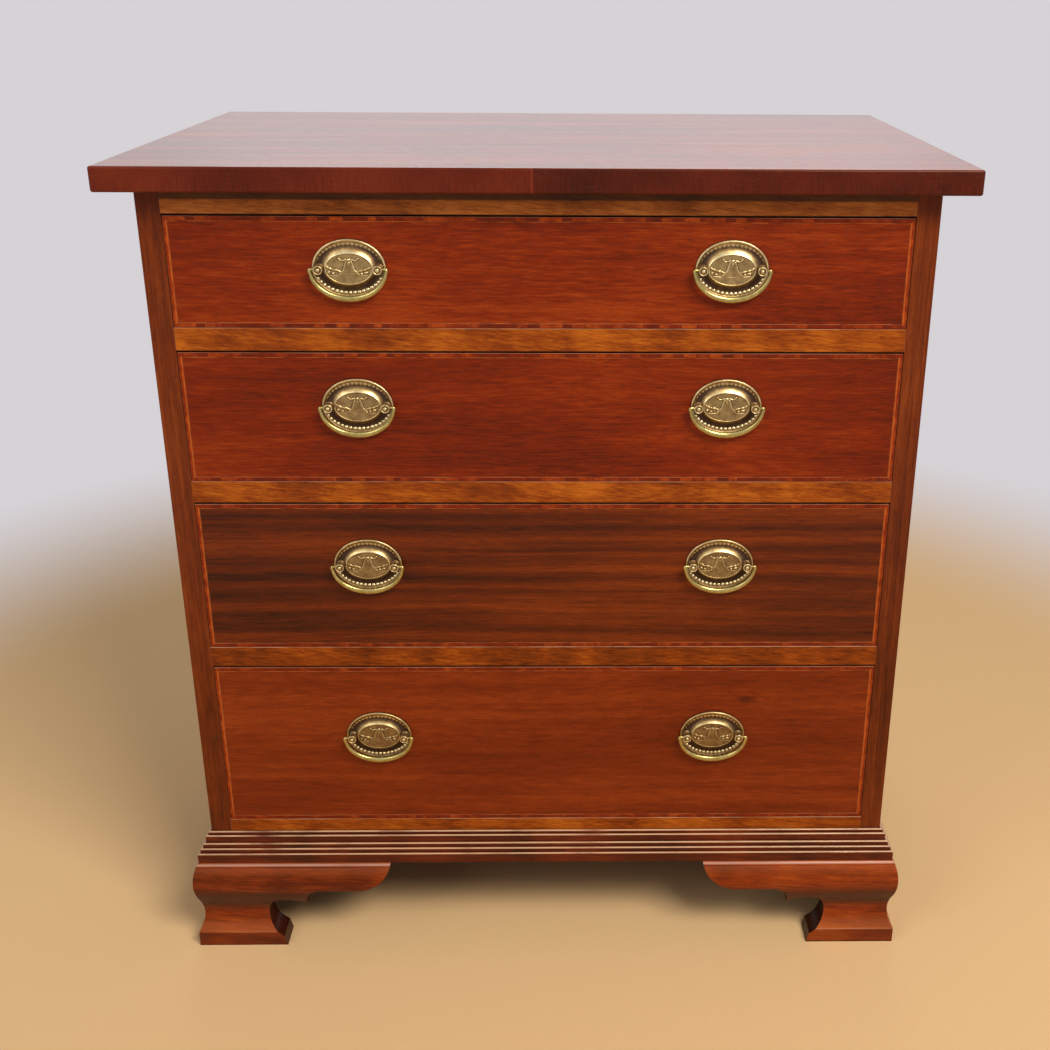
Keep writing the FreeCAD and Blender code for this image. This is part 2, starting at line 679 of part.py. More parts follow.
def make_back_foot():
    """An ogee bracket along the side, a plain bracket along the back and a glue block."""
    inner_x = f"(-{HALF} + Sizes.foot_inset)"
    section, section_bows = ogee_outline(lambda out: f"(-{HALF} - {out})")
    bar = profiled(
        "back_side_bracket_bar",
        "XZ_Plane",
        section,
        f"({BACK} - Sizes.wing_width - {REACH})",
        BACK,
        section_bows,
    )
    scroll, scroll_bows = scroll_outline(lambda width: f"({BACK} - {width})", f"(-{REACH})")
    cut = profiled(
        "back_side_bracket_scroll",
        "YZ_Plane",
        scroll,
        f"(-{HALF} - {REACH})",
        f"(-{HALF} + {REACH})",
        turned(scroll_bows),
    )
    plain = box(
        "back_bracket",
        (inner_x, f"({inner_x} + Sizes.back_bracket_width)"),
        (f"({BACK} - Sizes.back_bracket_thick)", BACK),
        ("0", "Sizes.foot_height"),
    )
    behind_block = f"({BACK} - Sizes.back_bracket_thick)"
    block = box(
        "back_glue_block",
        (inner_x, f"({inner_x} + Sizes.block_width)"),
        (f"({behind_block} - Sizes.block_width)", behind_block),
        ("Sizes.block_lift", "Sizes.foot_height"),
    )
    return group("foot_back_left", overlap("back_side_bracket", bar, cut), plain, block)


def make_base():
    mitre_block = make_mitre_block()
    front_foot = make_front_foot(mitre_block)
    back_foot = make_back_foot()
    return [
        make_moulding(mitre_block),
        front_foot,
        mirror("foot_front_right", front_foot),
        back_foot,
        mirror("foot_back_right", back_foot),
    ]


# ---------------------------------------------------------------- drawers


def make_sockets(name, height, thickness_y, narrow_end):
    """Dovetail-shaped tools for both ends of a board, spaced evenly over its height."""
    bottom, top = height
    count = max(1, round((value(top) - value(bottom)) / value("Sizes.dovetail_pitch")))
    pitch = f"(({top} - {bottom}) / {count})"
    front, back = thickness_y
    wide = f"({pitch} / 2 - Sizes.dovetail_pin / 2)"
    narrow = f"({wide} - Sizes.dovetail_slope * ({back} - {front}))"
    tails = []
    for tail in range(count):
        middle = f"({bottom} + {tail + 0.5} * {pitch})"
        wide_z = (f"({middle} - {wide})", f"({middle} + {wide})")
        narrow_z = (f"({middle} - {narrow})", f"({middle} + {narrow})")
        ends = (narrow_z, wide_z) if narrow_end == "front" else (wide_z, narrow_z)
        left = (f"(-{HALF_DRAWER})", f"(-{HALF_LINING})")
        piece = wedge(f"{name}_tail_{tail + 1}", thickness_y, left, ends[0], left, ends[1])
        tails += [piece, mirror(f"{piece.Label}_right", piece)]
    return group(f"{name}_tails", *tails)


def make_box(number, bottom, top, shank_holes):
    """A drawer's front, crossbanding, sides, back and bottom."""
    name = f"drawer_{number}"
    behind_front = f"({FRONT} + Sizes.front_thick)"
    rear = f"({BACK_INSIDE} - Sizes.drawer_back_gap)"
    rear_inside = f"({rear} - Sizes.lining_thick)"
    side_top = f"({top} - Sizes.side_drop)"
    board_bottom = f"({bottom} + Sizes.bottom_rise)"
    board_top = f"({board_bottom} + Sizes.drawer_bottom_thick)"
    back_top = f"({top} - Sizes.back_drop)"

    panel = box(
        f"{name}_bottom",
        both_ways(f"({HALF_LINING} + Sizes.bottom_groove)"),
        (f"({behind_front} - Sizes.bottom_groove)", rear),
        (board_bottom, board_top),
    )
    outer = box(
        f"{name}_band_outer",
        both_ways(HALF_DRAWER),
        (FRONT, f"({FRONT} + Sizes.band_thick)"),
        (bottom, top),
    )
    inner = box(
        f"{name}_band_inner",
        both_ways(f"({HALF_DRAWER} - Sizes.band_width)"),
        (FRONT, f"({FRONT} + Sizes.band_thick)"),
        (f"({bottom} + Sizes.band_width)", f"({top} - Sizes.band_width)"),
    )
    banding = carve(f"{name}_banding", outer, inner)

    width = both_ways(HALF_DRAWER)
    front_joint = (f"({FRONT} + Sizes.dovetail_lap)", behind_front)
    front_tails = make_sockets(f"{name}_front", (bottom, side_top), front_joint, "back")
    front_blank = box(f"{name}_front_blank", width, (FRONT, behind_front), (bottom, top))
    front = carve(f"{name}_front", front_blank, banding, front_tails, panel, shank_holes)

    back_height = (board_top, back_top)
    back_tails = make_sockets(f"{name}_back", back_height, (rear_inside, rear), "front")
    back_blank = box(f"{name}_back_blank", width, (rear_inside, rear), back_height)
    back = carve(f"{name}_back", back_blank, back_tails)

    side_blank = box(
        f"{name}_side_blank",
        (f"(-{HALF_DRAWER})", f"(-{HALF_LINING})"),
        (f"({FRONT} + Sizes.dovetail_lap)", rear),
        (bottom, side_top),
    )
    side = carve(f"{name}_side_left", side_blank, front, back, panel)
    return [front, banding, side, mirror(f"{name}_side_right", side), back, panel]


HOLE_RADIUS = "(Sizes.shank_radius + Sizes.shank_clearance)"


def make_plate(name, x, z):
    """An oval backplate: rim, hollow ring, raised oval and the seats of two posts."""

    def at(stand_off):
        return x, f"({FRONT} - ({stand_off}))", z

    outside = ("Sizes.plate_width", "Sizes.plate_height")
    edge = "(Sizes.plate_rim_height - Sizes.plate_thick)"
    rim = [f"({size} - {edge})" for size in outside]
    mouth = [f"({size} - 2 * Sizes.plate_rim_width)" for size in outside]
    floor = [f"({size} - {edge})" for size in mouth]
    blank = frustum(
        f"{name}_blank",
        oval(f"{name}_oval_back", *outside, at("0")),
        oval(f"{name}_oval_rim", *rim, at("Sizes.plate_rim_height")),
    )
    hollow = frustum(
        f"{name}_hollow",
        oval(f"{name}_oval_floor", *floor, at("Sizes.plate_thick")),
        oval(f"{name}_oval_mouth", *mouth, at("Sizes.plate_rim_height")),
    )
    dome_foot = ("Sizes.dome_foot_width", "Sizes.dome_foot_height")
    dome = frustum(
        f"{name}_dome",
        oval(f"{name}_oval_foot", *dome_foot, at("Sizes.plate_thick / 2")),
        oval(f"{name}_oval_face", "Sizes.dome_width", "Sizes.dome_height", at("Sizes.dome_stand")),
    )
    bosses = []
    holes = []
    for side, sign in (("inner", "+"), ("outer", "-")):
        post_x = f"({x} {sign} Sizes.post_spacing / 2)"
        base = (post_x, FRONT, z)
        boss_name = f"{name}_boss_{side}"
        bosses.append(cylinder(boss_name, "Sizes.boss_radius", "Sizes.boss_stand", base, FORWARD))
        holes.append(cylinder(f"{name}_hole_{side}", HOLE_RADIUS, "Sizes.boss_stand", base, FORWARD))
    body = join(f"{name}_body", carve(f"{name}_dish", blank, hollow), dome, *bosses)
    return carve(name, body, *holes)


def make_post(name, x, z, outer_sign):
    """A post and its nut: shank through the drawer front, neck, drilled head and button."""
    nut_face = f"({FRONT} + Sizes.front_thick)"
    shank_back = f"({nut_face} + Sizes.nut_height + Sizes.shank_end)"
    head_back = f"({FRONT} - Sizes.bail_stand + Sizes.head_length / 2)"
    head_front = f"({FRONT} - Sizes.bail_stand - Sizes.head_length / 2)"
    seat = f"({FRONT} - Sizes.boss_stand)"

    def stretch(part, radius, back, front):
        """One round length of the post between two depths."""
        return cylinder(f"{name}_{part}", radius, f"({back} - {front})", (x, back, z), FORWARD)

    shank = stretch("shank", "Sizes.shank_radius", shank_back, seat)
    neck = stretch("neck", "Sizes.neck_radius", seat, head_back)
    head = stretch("head", "Sizes.head_radius", head_back, head_front)
    button_front = f"({head_front} - Sizes.button_stand)"
    button = stretch("button", "Sizes.button_radius", head_front, button_front)
    bore_end = "(Sizes.head_radius - Sizes.pin_bite - Sizes.pin_clearance)"
    bore = cylinder(
        f"{name}_bore",
        "(Sizes.pin_radius + Sizes.pin_clearance)",
        "Sizes.head_radius",
        (f"({x} + {outer_sign} * {bore_end})", f"({FRONT} - Sizes.bail_stand)", z),
        RIGHT * outer_sign,
    )
    post = carve(name, join(f"{name}_turned", shank, neck, head, button), bore)

    nut_blank = doc.addObject("Part::Prism", f"{name}_nut_blank")
    nut_blank.Polygon = 6
    nut_blank.setExpression("Circumradius", "Sizes.nut_radius")
    nut_blank.setExpression("Height", "Sizes.nut_height")
    stand(nut_blank, (x, f"({nut_face} + Sizes.nut_height)", z), FORWARD)
    return [post, carve(f"{name}_nut", nut_blank, shank)]


def make_bail(name, x, z):
    """A drooping half oval with a knuckle and an inward pin at each end."""
    pivot_y = f"({FRONT} - Sizes.bail_stand)"
    path = oval(f"{name}_path", "Sizes.bail_width", "(2 * Sizes.bail_drop)", (x, pivot_y, z), 180, 360)
    section = doc.addObject("Part::Circle", f"{name}_section")
    section.setExpression("Radius", "Sizes.bail_radius")
    stand(section, (f"({x} - Sizes.bail_width / 2)", pivot_y, z), UP)
    grip = doc.addObject("Part::Sweep", f"{name}_grip")
    grip.Sections = [section]
    grip.Spine = (path, ["Edge1"])
    grip.Solid = True
    pieces = [grip]
    for side, sign in (("inner", 1), ("outer", -1)):
        arm_x = f"({x} + {sign} * Sizes.bail_width / 2)"
        pieces.append(sphere(f"{name}_elbow_{side}", "Sizes.elbow_radius", (arm_x, pivot_y, z)))
        reach = "((Sizes.bail_width - Sizes.post_spacing) / 2 - Sizes.head_radius + Sizes.pin_bite)"
        pieces.append(
            cylinder(f"{name}_pin_{side}", "Sizes.pin_radius", reach, (arm_x, pivot_y, z), RIGHT * -sign)
        )
    return join(name, *pieces)


def make_drawer(number):
    """One drawer with its two pulls; the right-hand pull mirrors the left-hand one."""
    name = f"drawer_{number}"
    bottom = f"({FLOOR[number]} + Sizes.gap_below)"
    top = f"({bottom} + Sizes.drawer_height_{number})"
    pull_x = "(-Sizes.pull_spacing / 2)"
    pull_z = f"(({bottom} + {top}) / 2 + Sizes.pull_lift_{number})"

    plate = make_plate(f"{name}_plate", pull_x, pull_z)
    bolts = []
    holes = []
    for side, sign in (("inner", 1), ("outer", -1)):
        post_x = f"({pull_x} + {sign} * Sizes.post_spacing / 2)"
        bolts += make_post(f"{name}_post_{side}", post_x, pull_z, sign)
        hole_back = (post_x, f"({FRONT} + Sizes.front_thick)", pull_z)
        hole_name = f"{name}_shank_hole_{side}"
        holes.append(cylinder(hole_name, HOLE_RADIUS, "Sizes.front_thick", hole_back, FORWARD))
    holes += [mirror(f"{hole.Label}_right", hole) for hole in holes]
    right_bolts = [mirror(f"{bolt.Label}_right", bolt) for bolt in bolts]
    bail = make_bail(f"{name}_bail_left", pull_x, pull_z)
    pieces = make_box(number, bottom, top, group(f"{name}_shank_holes", *holes))
    return pieces + [
        group(f"{name}_backplates", plate, mirror(f"{name}_plate_right", plate)),
        group(f"{name}_pull_bolts", *bolts, *right_bolts),
        bail,
        mirror(f"{name}_bail_right", bail),
    ]


def check(nodes):
    """Stop if any object failed to compute, or any node has no valid shape."""
    failed = [item.Label for item in doc.Objects if {"Invalid", "Error"} & set(item.State)]
    if failed:
        raise RuntimeError(f"objects that failed to compute: {failed}")
    for node in nodes:
        if node.Shape.isNull() or not node.Shape.isValid() or not node.Shape.Solids:
            raise RuntimeError(f"no valid solid in {node.Label}")


nodes = make_top() + make_carcase() + make_back() + make_base()
for number in DRAWERS:
    nodes += make_drawer(number)
doc.recompute()
check(nodes)
os.makedirs("parts", exist_ok=True)
for node in nodes:
    node.Shape.exportStep(os.path.join("parts", f"{node.Label}.step"))
    print(f"{node.Label}: {len(node.Shape.Solids)} solids, {node.Shape.Volume / 1000:.2f} cm3")
print(f"{len(nodes)} nodes, height {value(TOP_SURFACE):.1f} mm")
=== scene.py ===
"""Looks of the bachelor's chest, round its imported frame.

The wooden pieces of the frame keep their shape and get mahogany, oak or pine finishes, and the flat ones
get softened edges. The brass pulls are modelled here over their plain solids. Places are in metres; the
pulls' own sizes are in millimetres.
"""

import json
import math

import bpy
import numpy as np
from mathutils import Matrix, Vector


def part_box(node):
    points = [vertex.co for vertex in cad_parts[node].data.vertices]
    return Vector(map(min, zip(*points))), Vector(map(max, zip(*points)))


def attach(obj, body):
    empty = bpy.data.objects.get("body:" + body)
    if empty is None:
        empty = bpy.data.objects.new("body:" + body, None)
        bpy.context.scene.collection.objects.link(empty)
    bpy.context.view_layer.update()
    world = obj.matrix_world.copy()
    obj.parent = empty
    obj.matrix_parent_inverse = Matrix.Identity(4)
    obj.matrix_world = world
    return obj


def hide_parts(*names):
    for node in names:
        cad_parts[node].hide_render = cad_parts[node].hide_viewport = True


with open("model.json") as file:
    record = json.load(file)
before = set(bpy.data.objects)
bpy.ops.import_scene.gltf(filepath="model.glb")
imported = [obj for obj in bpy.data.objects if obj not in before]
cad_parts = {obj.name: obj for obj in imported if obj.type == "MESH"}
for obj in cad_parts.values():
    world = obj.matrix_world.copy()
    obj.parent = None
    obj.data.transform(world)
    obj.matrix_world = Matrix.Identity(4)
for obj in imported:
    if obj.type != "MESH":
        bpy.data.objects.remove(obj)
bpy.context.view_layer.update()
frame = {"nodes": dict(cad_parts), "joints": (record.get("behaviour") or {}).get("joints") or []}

MM = 0.001
DRAWERS = (1, 2, 3, 4)
BACK_BOARDS = 4
SIDES = ("left", "right")
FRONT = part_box("drawer_rail_1")[0].y
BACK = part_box("back_boards")[1].y
HALF_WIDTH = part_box("side_panel_right")[1].x
TOP_LOW, TOP_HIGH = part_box("top_board")
HINGES = {joint["child"]: Vector(joint["pos_m"]) for joint in frame["joints"] if joint["type"] == "hinge"}


def srgb(red, green, blue):
    """A colour given in 8-bit sRGB, as Blender's linear RGBA."""
    linear = [
        part / 12.92 if part <= 0.04045 else ((part + 0.055) / 1.055) ** 2.4
        for part in (red / 255, green / 255, blue / 255)
    ]
    return (*linear, 1.0)


# ---- material nodes


class Field:
    """A number that varies over a surface: a node's socket, with arithmetic."""

    def __init__(self, paint, socket):
        self.paint = paint
        self.socket = socket

    def __add__(self, other):
        return self.paint.math("ADD", self, other)

    def __sub__(self, other):
        return self.paint.math("SUBTRACT", self, other)

    def __rsub__(self, other):
        return self.paint.math("SUBTRACT", other, self)

    def __mul__(self, other):
        return self.paint.math("MULTIPLY", self, other)

    def __abs__(self):
        return self.paint.math("ABSOLUTE", self)

    def smaller(self, other):
        return self.paint.math("MINIMUM", self, other)

    def larger(self, other):
        return self.paint.math("MAXIMUM", self, other)

    def above(self, other):
        """1 where the field is greater than other, else 0."""
        return self.paint.math("GREATER_THAN", self, other)

    def rise(self, low, high):
        """0 below low, 1 above high and a smooth step between them; falls where low is the greater."""
        node = self.paint.node("ShaderNodeMapRange", interpolation_type="SMOOTHSTEP")
        ends = (0.0, 1.0) if low < high else (1.0, 0.0)
        limits = (self, min(low, high), max(low, high), *ends)
        for socket, setting in zip(node.inputs, limits):
            self.paint.feed(socket, setting)
        return Field(self.paint, node.outputs[0])


def choose(share, low, high):
    """One field turning into another as share goes from 0 to 1."""
    return share * (high - low) + low


class Paint:
    """Builds the nodes of one material."""

    def __init__(self, name):
        self.material = bpy.data.materials.new(name)
        self.material.use_nodes = True
        self.tree = self.material.node_tree
        self.tree.nodes.clear()
        self.output = self.node("ShaderNodeOutputMaterial")
        self.surface = self.node("ShaderNodeBsdfPrincipled")
        self.tree.links.new(self.surface.outputs[0], self.output.inputs[0])
        self.place = self.node("ShaderNodeTexCoord").outputs["Object"]
        self.x, self.y, self.z = self.split(self.place)

    def node(self, kind, **settings):
        node = self.tree.nodes.new(kind)
        for name, setting in settings.items():
            setattr(node, name, setting)
        return node

    def feed(self, socket, source):
        source = getattr(source, "socket", source)
        if isinstance(source, bpy.types.NodeSocket):
            self.tree.links.new(source, socket)
        else:
            socket.default_value = source

    def math(self, operation, *numbers):
        node = self.node("ShaderNodeMath", operation=operation)
        for socket, number in zip(node.inputs, numbers):
            self.feed(socket, number)
        return Field(self, node.outputs[0])

    def split(self, vector):
        node = self.node("ShaderNodeSeparateXYZ")
        self.feed(node.inputs[0], vector)
        return [Field(self, socket) for socket in node.outputs]

    def distance(self, first, second):
        """How far from a line two fields are, each of which is 0 on it."""
        return self.math("POWER", first * first + second * second, 0.5)

    def vector(self, *parts):
        node = self.node("ShaderNodeCombineXYZ")
        for socket, part in zip(node.inputs, parts):
            self.feed(socket, part)
        return node.outputs[0]

    def noise(self, vector, scale=1.0, detail=2.0, roughness=0.5, distortion=0.0):
        node = self.node("ShaderNodeTexNoise")
        self.feed(node.inputs["Vector"], vector)
        settings = {"Scale": scale, "Detail": detail, "Roughness": roughness, "Distortion": distortion}
        for name, setting in settings.items():
            self.feed(node.inputs[name], setting)
        return Field(self, node.outputs[0])

    def cells(self, place, length, jitter=1.0):
        """Random tone of each cell along a line, and the distance to the nearest cell's edge."""
        tones = self.node("ShaderNodeTexVoronoi", voronoi_dimensions="1D")
        edges = self.node("ShaderNodeTexVoronoi", voronoi_dimensions="1D", feature="DISTANCE_TO_EDGE")
        for node in (tones, edges):
            self.feed(node.inputs["W"], place)
            self.feed(node.inputs["Scale"], 1 / length)
            self.feed(node.inputs["Randomness"], jitter)
        tone = self.split(tones.outputs["Color"])[0]
        return tone, Field(self, edges.outputs["Distance"]) * length

    def ramp(self, field, stops):
        """A colour that runs through stops, each a place from 0 to 1 and a colour."""
        node = self.node("ShaderNodeValToRGB")
        elements = node.color_ramp.elements
        while len(elements) < len(stops):
            elements.new(0.5)
        for element, (place, colour) in zip(elements, stops):
            element.position = place
            element.color = colour
        self.feed(node.inputs[0], field)
        return node.outputs[0]

    def blend(self, share, low, high):
        """One colour turning into another as share goes from 0 to 1."""
        node = self.node("ShaderNodeMix", data_type="RGBA")
        for name, source in (("Factor_Float", share), ("A_Color", low), ("B_Color", high)):
            socket = next(socket for socket in node.inputs if socket.identifier == name)
            self.feed(socket, source)
        return next(socket for socket in node.outputs if socket.identifier == "Result_Color")

    def facing(self):
        """The three parts of the surface's own normal."""
        return self.split(self.node("ShaderNodeTexCoord").outputs["Normal"])

    def finish(self, colour, roughness, relief, depth, **settings):
        """The material, once its surface is fed; settings are named after the surface's other inputs."""
        inputs = self.surface.inputs
        self.feed(inputs["Base Color"], colour)
        self.feed(inputs["Roughness"], roughness)
        bump = self.node("ShaderNodeBump")
        self.feed(bump.inputs["Height"], relief)
        self.feed(bump.inputs["Distance"], depth)
        self.feed(inputs["Normal"], bump.outputs[0])
        for name, setting in settings.items():
            self.feed(inputs[name.replace("_", " ")], setting)
        return self.material


# ---- wood

# How fine the figure's parts are, in waves to the metre across the grain.
FIBRES = 700.0
PORES = 1700.0
RIBBONS = 200.0


class Wood:
    """The figure of one kind of board, in a space whose first axis runs along the grain.

    stripe is a stripe's width, patch a cloud's length and fleck a streak's; wander and slant bend the grain.
    """

    def __init__(self, paint, grain, seed, stripe=0.014, wander=0.012, slant=0.0, patch=0.3, fleck=0.06):
        along, across, depth = grain
        drift = paint.noise(paint.vector(along * 1.3 + seed, across * 4.0 + seed, depth * 4.0)) - 0.5
        bent = across + drift * wander * 4 + along * slant
        stripes = paint.vector(along * 1.1 + seed, bent * (1 / stripe), depth * (1 / stripe))
        streaks = paint.vector(along * (1 / fleck), bent * FIBRES + seed, depth * FIBRES)
        pores = paint.vector(along * 110.0, bent * PORES, depth * PORES + seed)
        clouds = paint.vector(along * (1 / patch), across * 8.0 + seed, depth * 8.0)
        ribbon = paint.vector(along * 40.0 + seed, bent * RIBBONS, depth * RIBBONS)
        self.stripes = paint.noise(stripes, detail=2.5, roughness=0.55)
        self.streaks = paint.noise(streaks, detail=3.0, roughness=0.6)
        self.pores = paint.noise(pores, detail=1.0)
        self.clouds = paint.noise(clouds)
        self.ribbon = paint.noise(ribbon, detail=3.0, roughness=0.55, distortion=0.6)

    def figure(self, weights):
        """A field round 0.5; weights are those of the stripes, streaks, clouds and ribbon, in that order."""
        parts = (self.stripes, self.streaks, self.clouds, self.ribbon)
        shares = [(part - 0.5) * weight for part, weight in zip(parts, weights)]
        return sum(shares[1:], shares[0]) + 0.5

    def dark_pores(self, low=0.6, high=0.72):
        return self.pores.rise(low, high)


SHELLAC = (1.0, 0.62, 0.4, 1.0)


def shellacked(paint, colour, roughness, relief, depth, coat=0.08, coat_roughness=0.16, shine=0.22):
    """A surface under a clear coat, whose own reflections the polish tints."""
    coating = dict(Coat_Weight=coat, Coat_Roughness=coat_roughness)
    gloss = dict(Specular_IOR_Level=shine, Specular_Tint=SHELLAC)
    return paint.finish(colour, roughness, relief, depth, **coating, **gloss)


def polished(paint, wood, colour, roughness=0.34, **coating):
    """Waxed or French polished wood, with open pores and faint unevenness."""
    varied = (wood.clouds - 0.5) * 0.25 + (wood.streaks - 0.5) * 0.2 + roughness
    relief = wood.streaks * 0.5 - wood.dark_pores() * 0.6
    return shellacked(paint, colour, varied, relief, 0.12 * MM, **coating)


TONES = {
    # the dark, middle and light tone of each mahogany
    "drawer_red": (srgb(84, 21, 3), srgb(124, 36, 5), srgb(156, 60, 14)),
    "drawer_striped": (srgb(48, 19, 8), srgb(94, 35, 10), srgb(132, 54, 14)),
    "drawer_brown": (srgb(84, 26, 6), srgb(121, 42, 9), srgb(150, 62, 18)),
    "rail": (srgb(78, 28, 4), srgb(142, 62, 9), srgb(190, 102, 24)),
    # top_rail is paler and greyer than rail, partly its own tone and partly a painted hazy reflection.
    "top_rail": (srgb(74, 34, 15), srgb(160, 88, 35), srgb(204, 128, 62)),
    "stile": (srgb(66, 23, 6), srgb(106, 42, 12), srgb(134, 60, 20)),
    "side": (srgb(74, 24, 7), srgb(114, 40, 11), srgb(144, 60, 20)),
    "top": (srgb(122, 50, 22), srgb(160, 74, 36), srgb(186, 98, 52)),
    "edge": (srgb(58, 14, 4), srgb(90, 26, 10), srgb(118, 42, 18)),
    "moulding": (srgb(44, 9, 3), srgb(84, 22, 6), srgb(118, 42, 12)),
    "foot": (srgb(92, 26, 4), srgb(140, 50, 8), srgb(178, 80, 16)),
}
PORE = srgb(40, 14, 9)
WORN = srgb(176, 112, 74)
# GLEAM is the colour of a painted highlight on upper edges.
GLEAM = srgb(228, 186, 150)


def lit_arris(paint, low=0.3, high=0.5, breaks=(0.3, 0.62)):
    """1 on upper rounded edges, broken along their length, where a pale painted highlight goes."""
    _, _, upward = paint.facing()
    rounded = upward.rise(low, high) * upward.rise(0.998, 0.95)
    return rounded * paint.noise(paint.place, 22.0, 3.0).rise(*breaks)


def worn(paint, colour, share, tone=WORN):
    """The colour, with another tone on the narrow slopes between a flat piece's faces."""
    across, forwards, upward = (abs(part) for part in paint.facing())
    slopes = across.larger(forwards).larger(upward).rise(0.985, 0.9)
    return paint.blend(slopes * share, colour, tone)


def toned(paint, field, tone):
    dark, middle, light = TONES[tone]
    return paint.ramp(field, [(0.3, dark), (0.5, middle), (0.7, light)])


def mahogany(name, tone, grain, weights, lift=0.0, pores=0.5, **figure):
    """The paint, the wood and the colour of one kind of board, before its own wear and lines."""
    paint = Paint(name)
    wood = Wood(paint, grain(paint), **figure)
    colour = toned(paint, wood.figure(weights) + lift, tone)
    return paint, wood, paint.blend(wood.dark_pores() * pores, colour, PORE)


def upright_grain(paint):
    return paint.z, paint.x, paint.y


def side_grain(paint):
    return paint.z, paint.y, paint.x


def level_grain(paint):
    return paint.x, paint.z, paint.y


def depth_grain(paint):
    return paint.y, paint.z, paint.x


def flat_grain(paint):
    return paint.x, paint.y, paint.z


# The plain brackets of the back feet lie this far in from the carcase's sides, and this near its back.
BACK_BRACKET_INSET = 10 * MM
BACK_BRACKET_REACH = 30 * MM


def turning_grain(paint):
    """Level grain that turns the corner at the mitres of the base, and lies across at the back."""
    outwards = abs(paint.x) - HALF_WIDTH
    inset = outwards.rise(1 * MM - BACK_BRACKET_INSET, -1 * MM - BACK_BRACKET_INSET)
    at_back = inset * paint.y.above(BACK - BACK_BRACKET_REACH)
    on_side = outwards.above(FRONT - paint.y) * (1 - at_back)
    along = choose(on_side, paint.x, paint.y)
    depth = choose(on_side, paint.y, paint.x)
    return along, paint.z, depth


BAND_WIDTH = 4.6 * MM
LINE_WIDTH = 0.7 * MM
INLAY = srgb(196, 104, 42)


def drawer_edges(paint, number):
    """Distance inwards from a drawer front's nearest edge, and a mask of its two ends."""
    low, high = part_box(f"drawer_{number}_front")
    from_end = high.x - abs(paint.x)
    from_rail = (paint.z - low.z).smaller(high.z - paint.z)
    return from_end.smaller(from_rail), from_rail.above(from_end)


FIGURES = {
    # each drawer front's tone, the weights of its figure, how much lighter it is, and its stripes' width
    1: ("drawer_red", (0.24, 0.5, 0.55, 0.3), -0.01, 0.012),
    2: ("drawer_red", (0.25, 0.46, 0.55, 0.25), -0.035, 0.016),
    3: ("drawer_striped", (0.64, 0.34, 0.34, 0.15), 0.0, 0.0125),
    4: ("drawer_brown", (0.45, 0.34, 0.5, 0.25), 0.0, 0.018),
}
KNOT_DRAWER = 4
KNOT_PLACE = (231 * MM, 329 * MM)
KNOT_TONE = srgb(44, 14, 6)


def knot(paint):
    """1 in the middle of a small knot, longer across than up, falling to 0 round it."""
    uneven = (paint.noise(paint.place, 120.0) - 0.5) * (8 * MM)
    across = (paint.x - KNOT_PLACE[0]) * 0.45
    upward = paint.z - KNOT_PLACE[1] + uneven
    return paint.distance(across, upward).rise(7.5 * MM, 0.5 * MM)


def drawer_front_material(number):
    """Mahogany with a thin light line let in along the crossbanding."""
    tone, weights, lift, stripe = FIGURES[number]
    figure = dict(seed=7.3 * number, stripe=stripe, fleck=0.024)
    name = f"drawer_front_{number}"
    paint, wood, colour = mahogany(name, tone, level_grain, weights, lift, 0.55, **figure)
    if number == KNOT_DRAWER:
        colour = paint.blend(knot(paint) * 0.7, colour, KNOT_TONE)
    inwards, at_end = drawer_edges(paint, number)
    from_line = abs(inwards - BAND_WIDTH - LINE_WIDTH * 0.5)
    line = from_line.rise(LINE_WIDTH * 0.65, LINE_WIDTH * 0.35)
    broken = paint.noise(paint.place, 60.0).rise(0.35, 0.6)
    on_face = paint.y.rise(FRONT + 1.5 * MM, FRONT + 1.0 * MM)
    colour = paint.blend(line * broken * on_face * (0.6 - at_end * 0.4), colour, INLAY)
    return polished(paint, wood, worn(paint, colour, 0.5))


# How much the lengths of each drawer's crossbanding differ in tone, and how long they are.
BAND_CONTRAST = {1: 0.34, 2: 0.3, 3: 0.2, 4: 0.16}
BAND_LENGTH = 11.5 * MM
BAND_COLOURS = [
    (0.25, srgb(88, 22, 6)), (0.5, srgb(122, 34, 7)), (0.72, srgb(172, 70, 16)), (0.9, srgb(190, 88, 26)),
]
BAND_SHADE_AND_JOINT = srgb(70, 18, 8)
BAND_END_LINE = srgb(198, 98, 34)


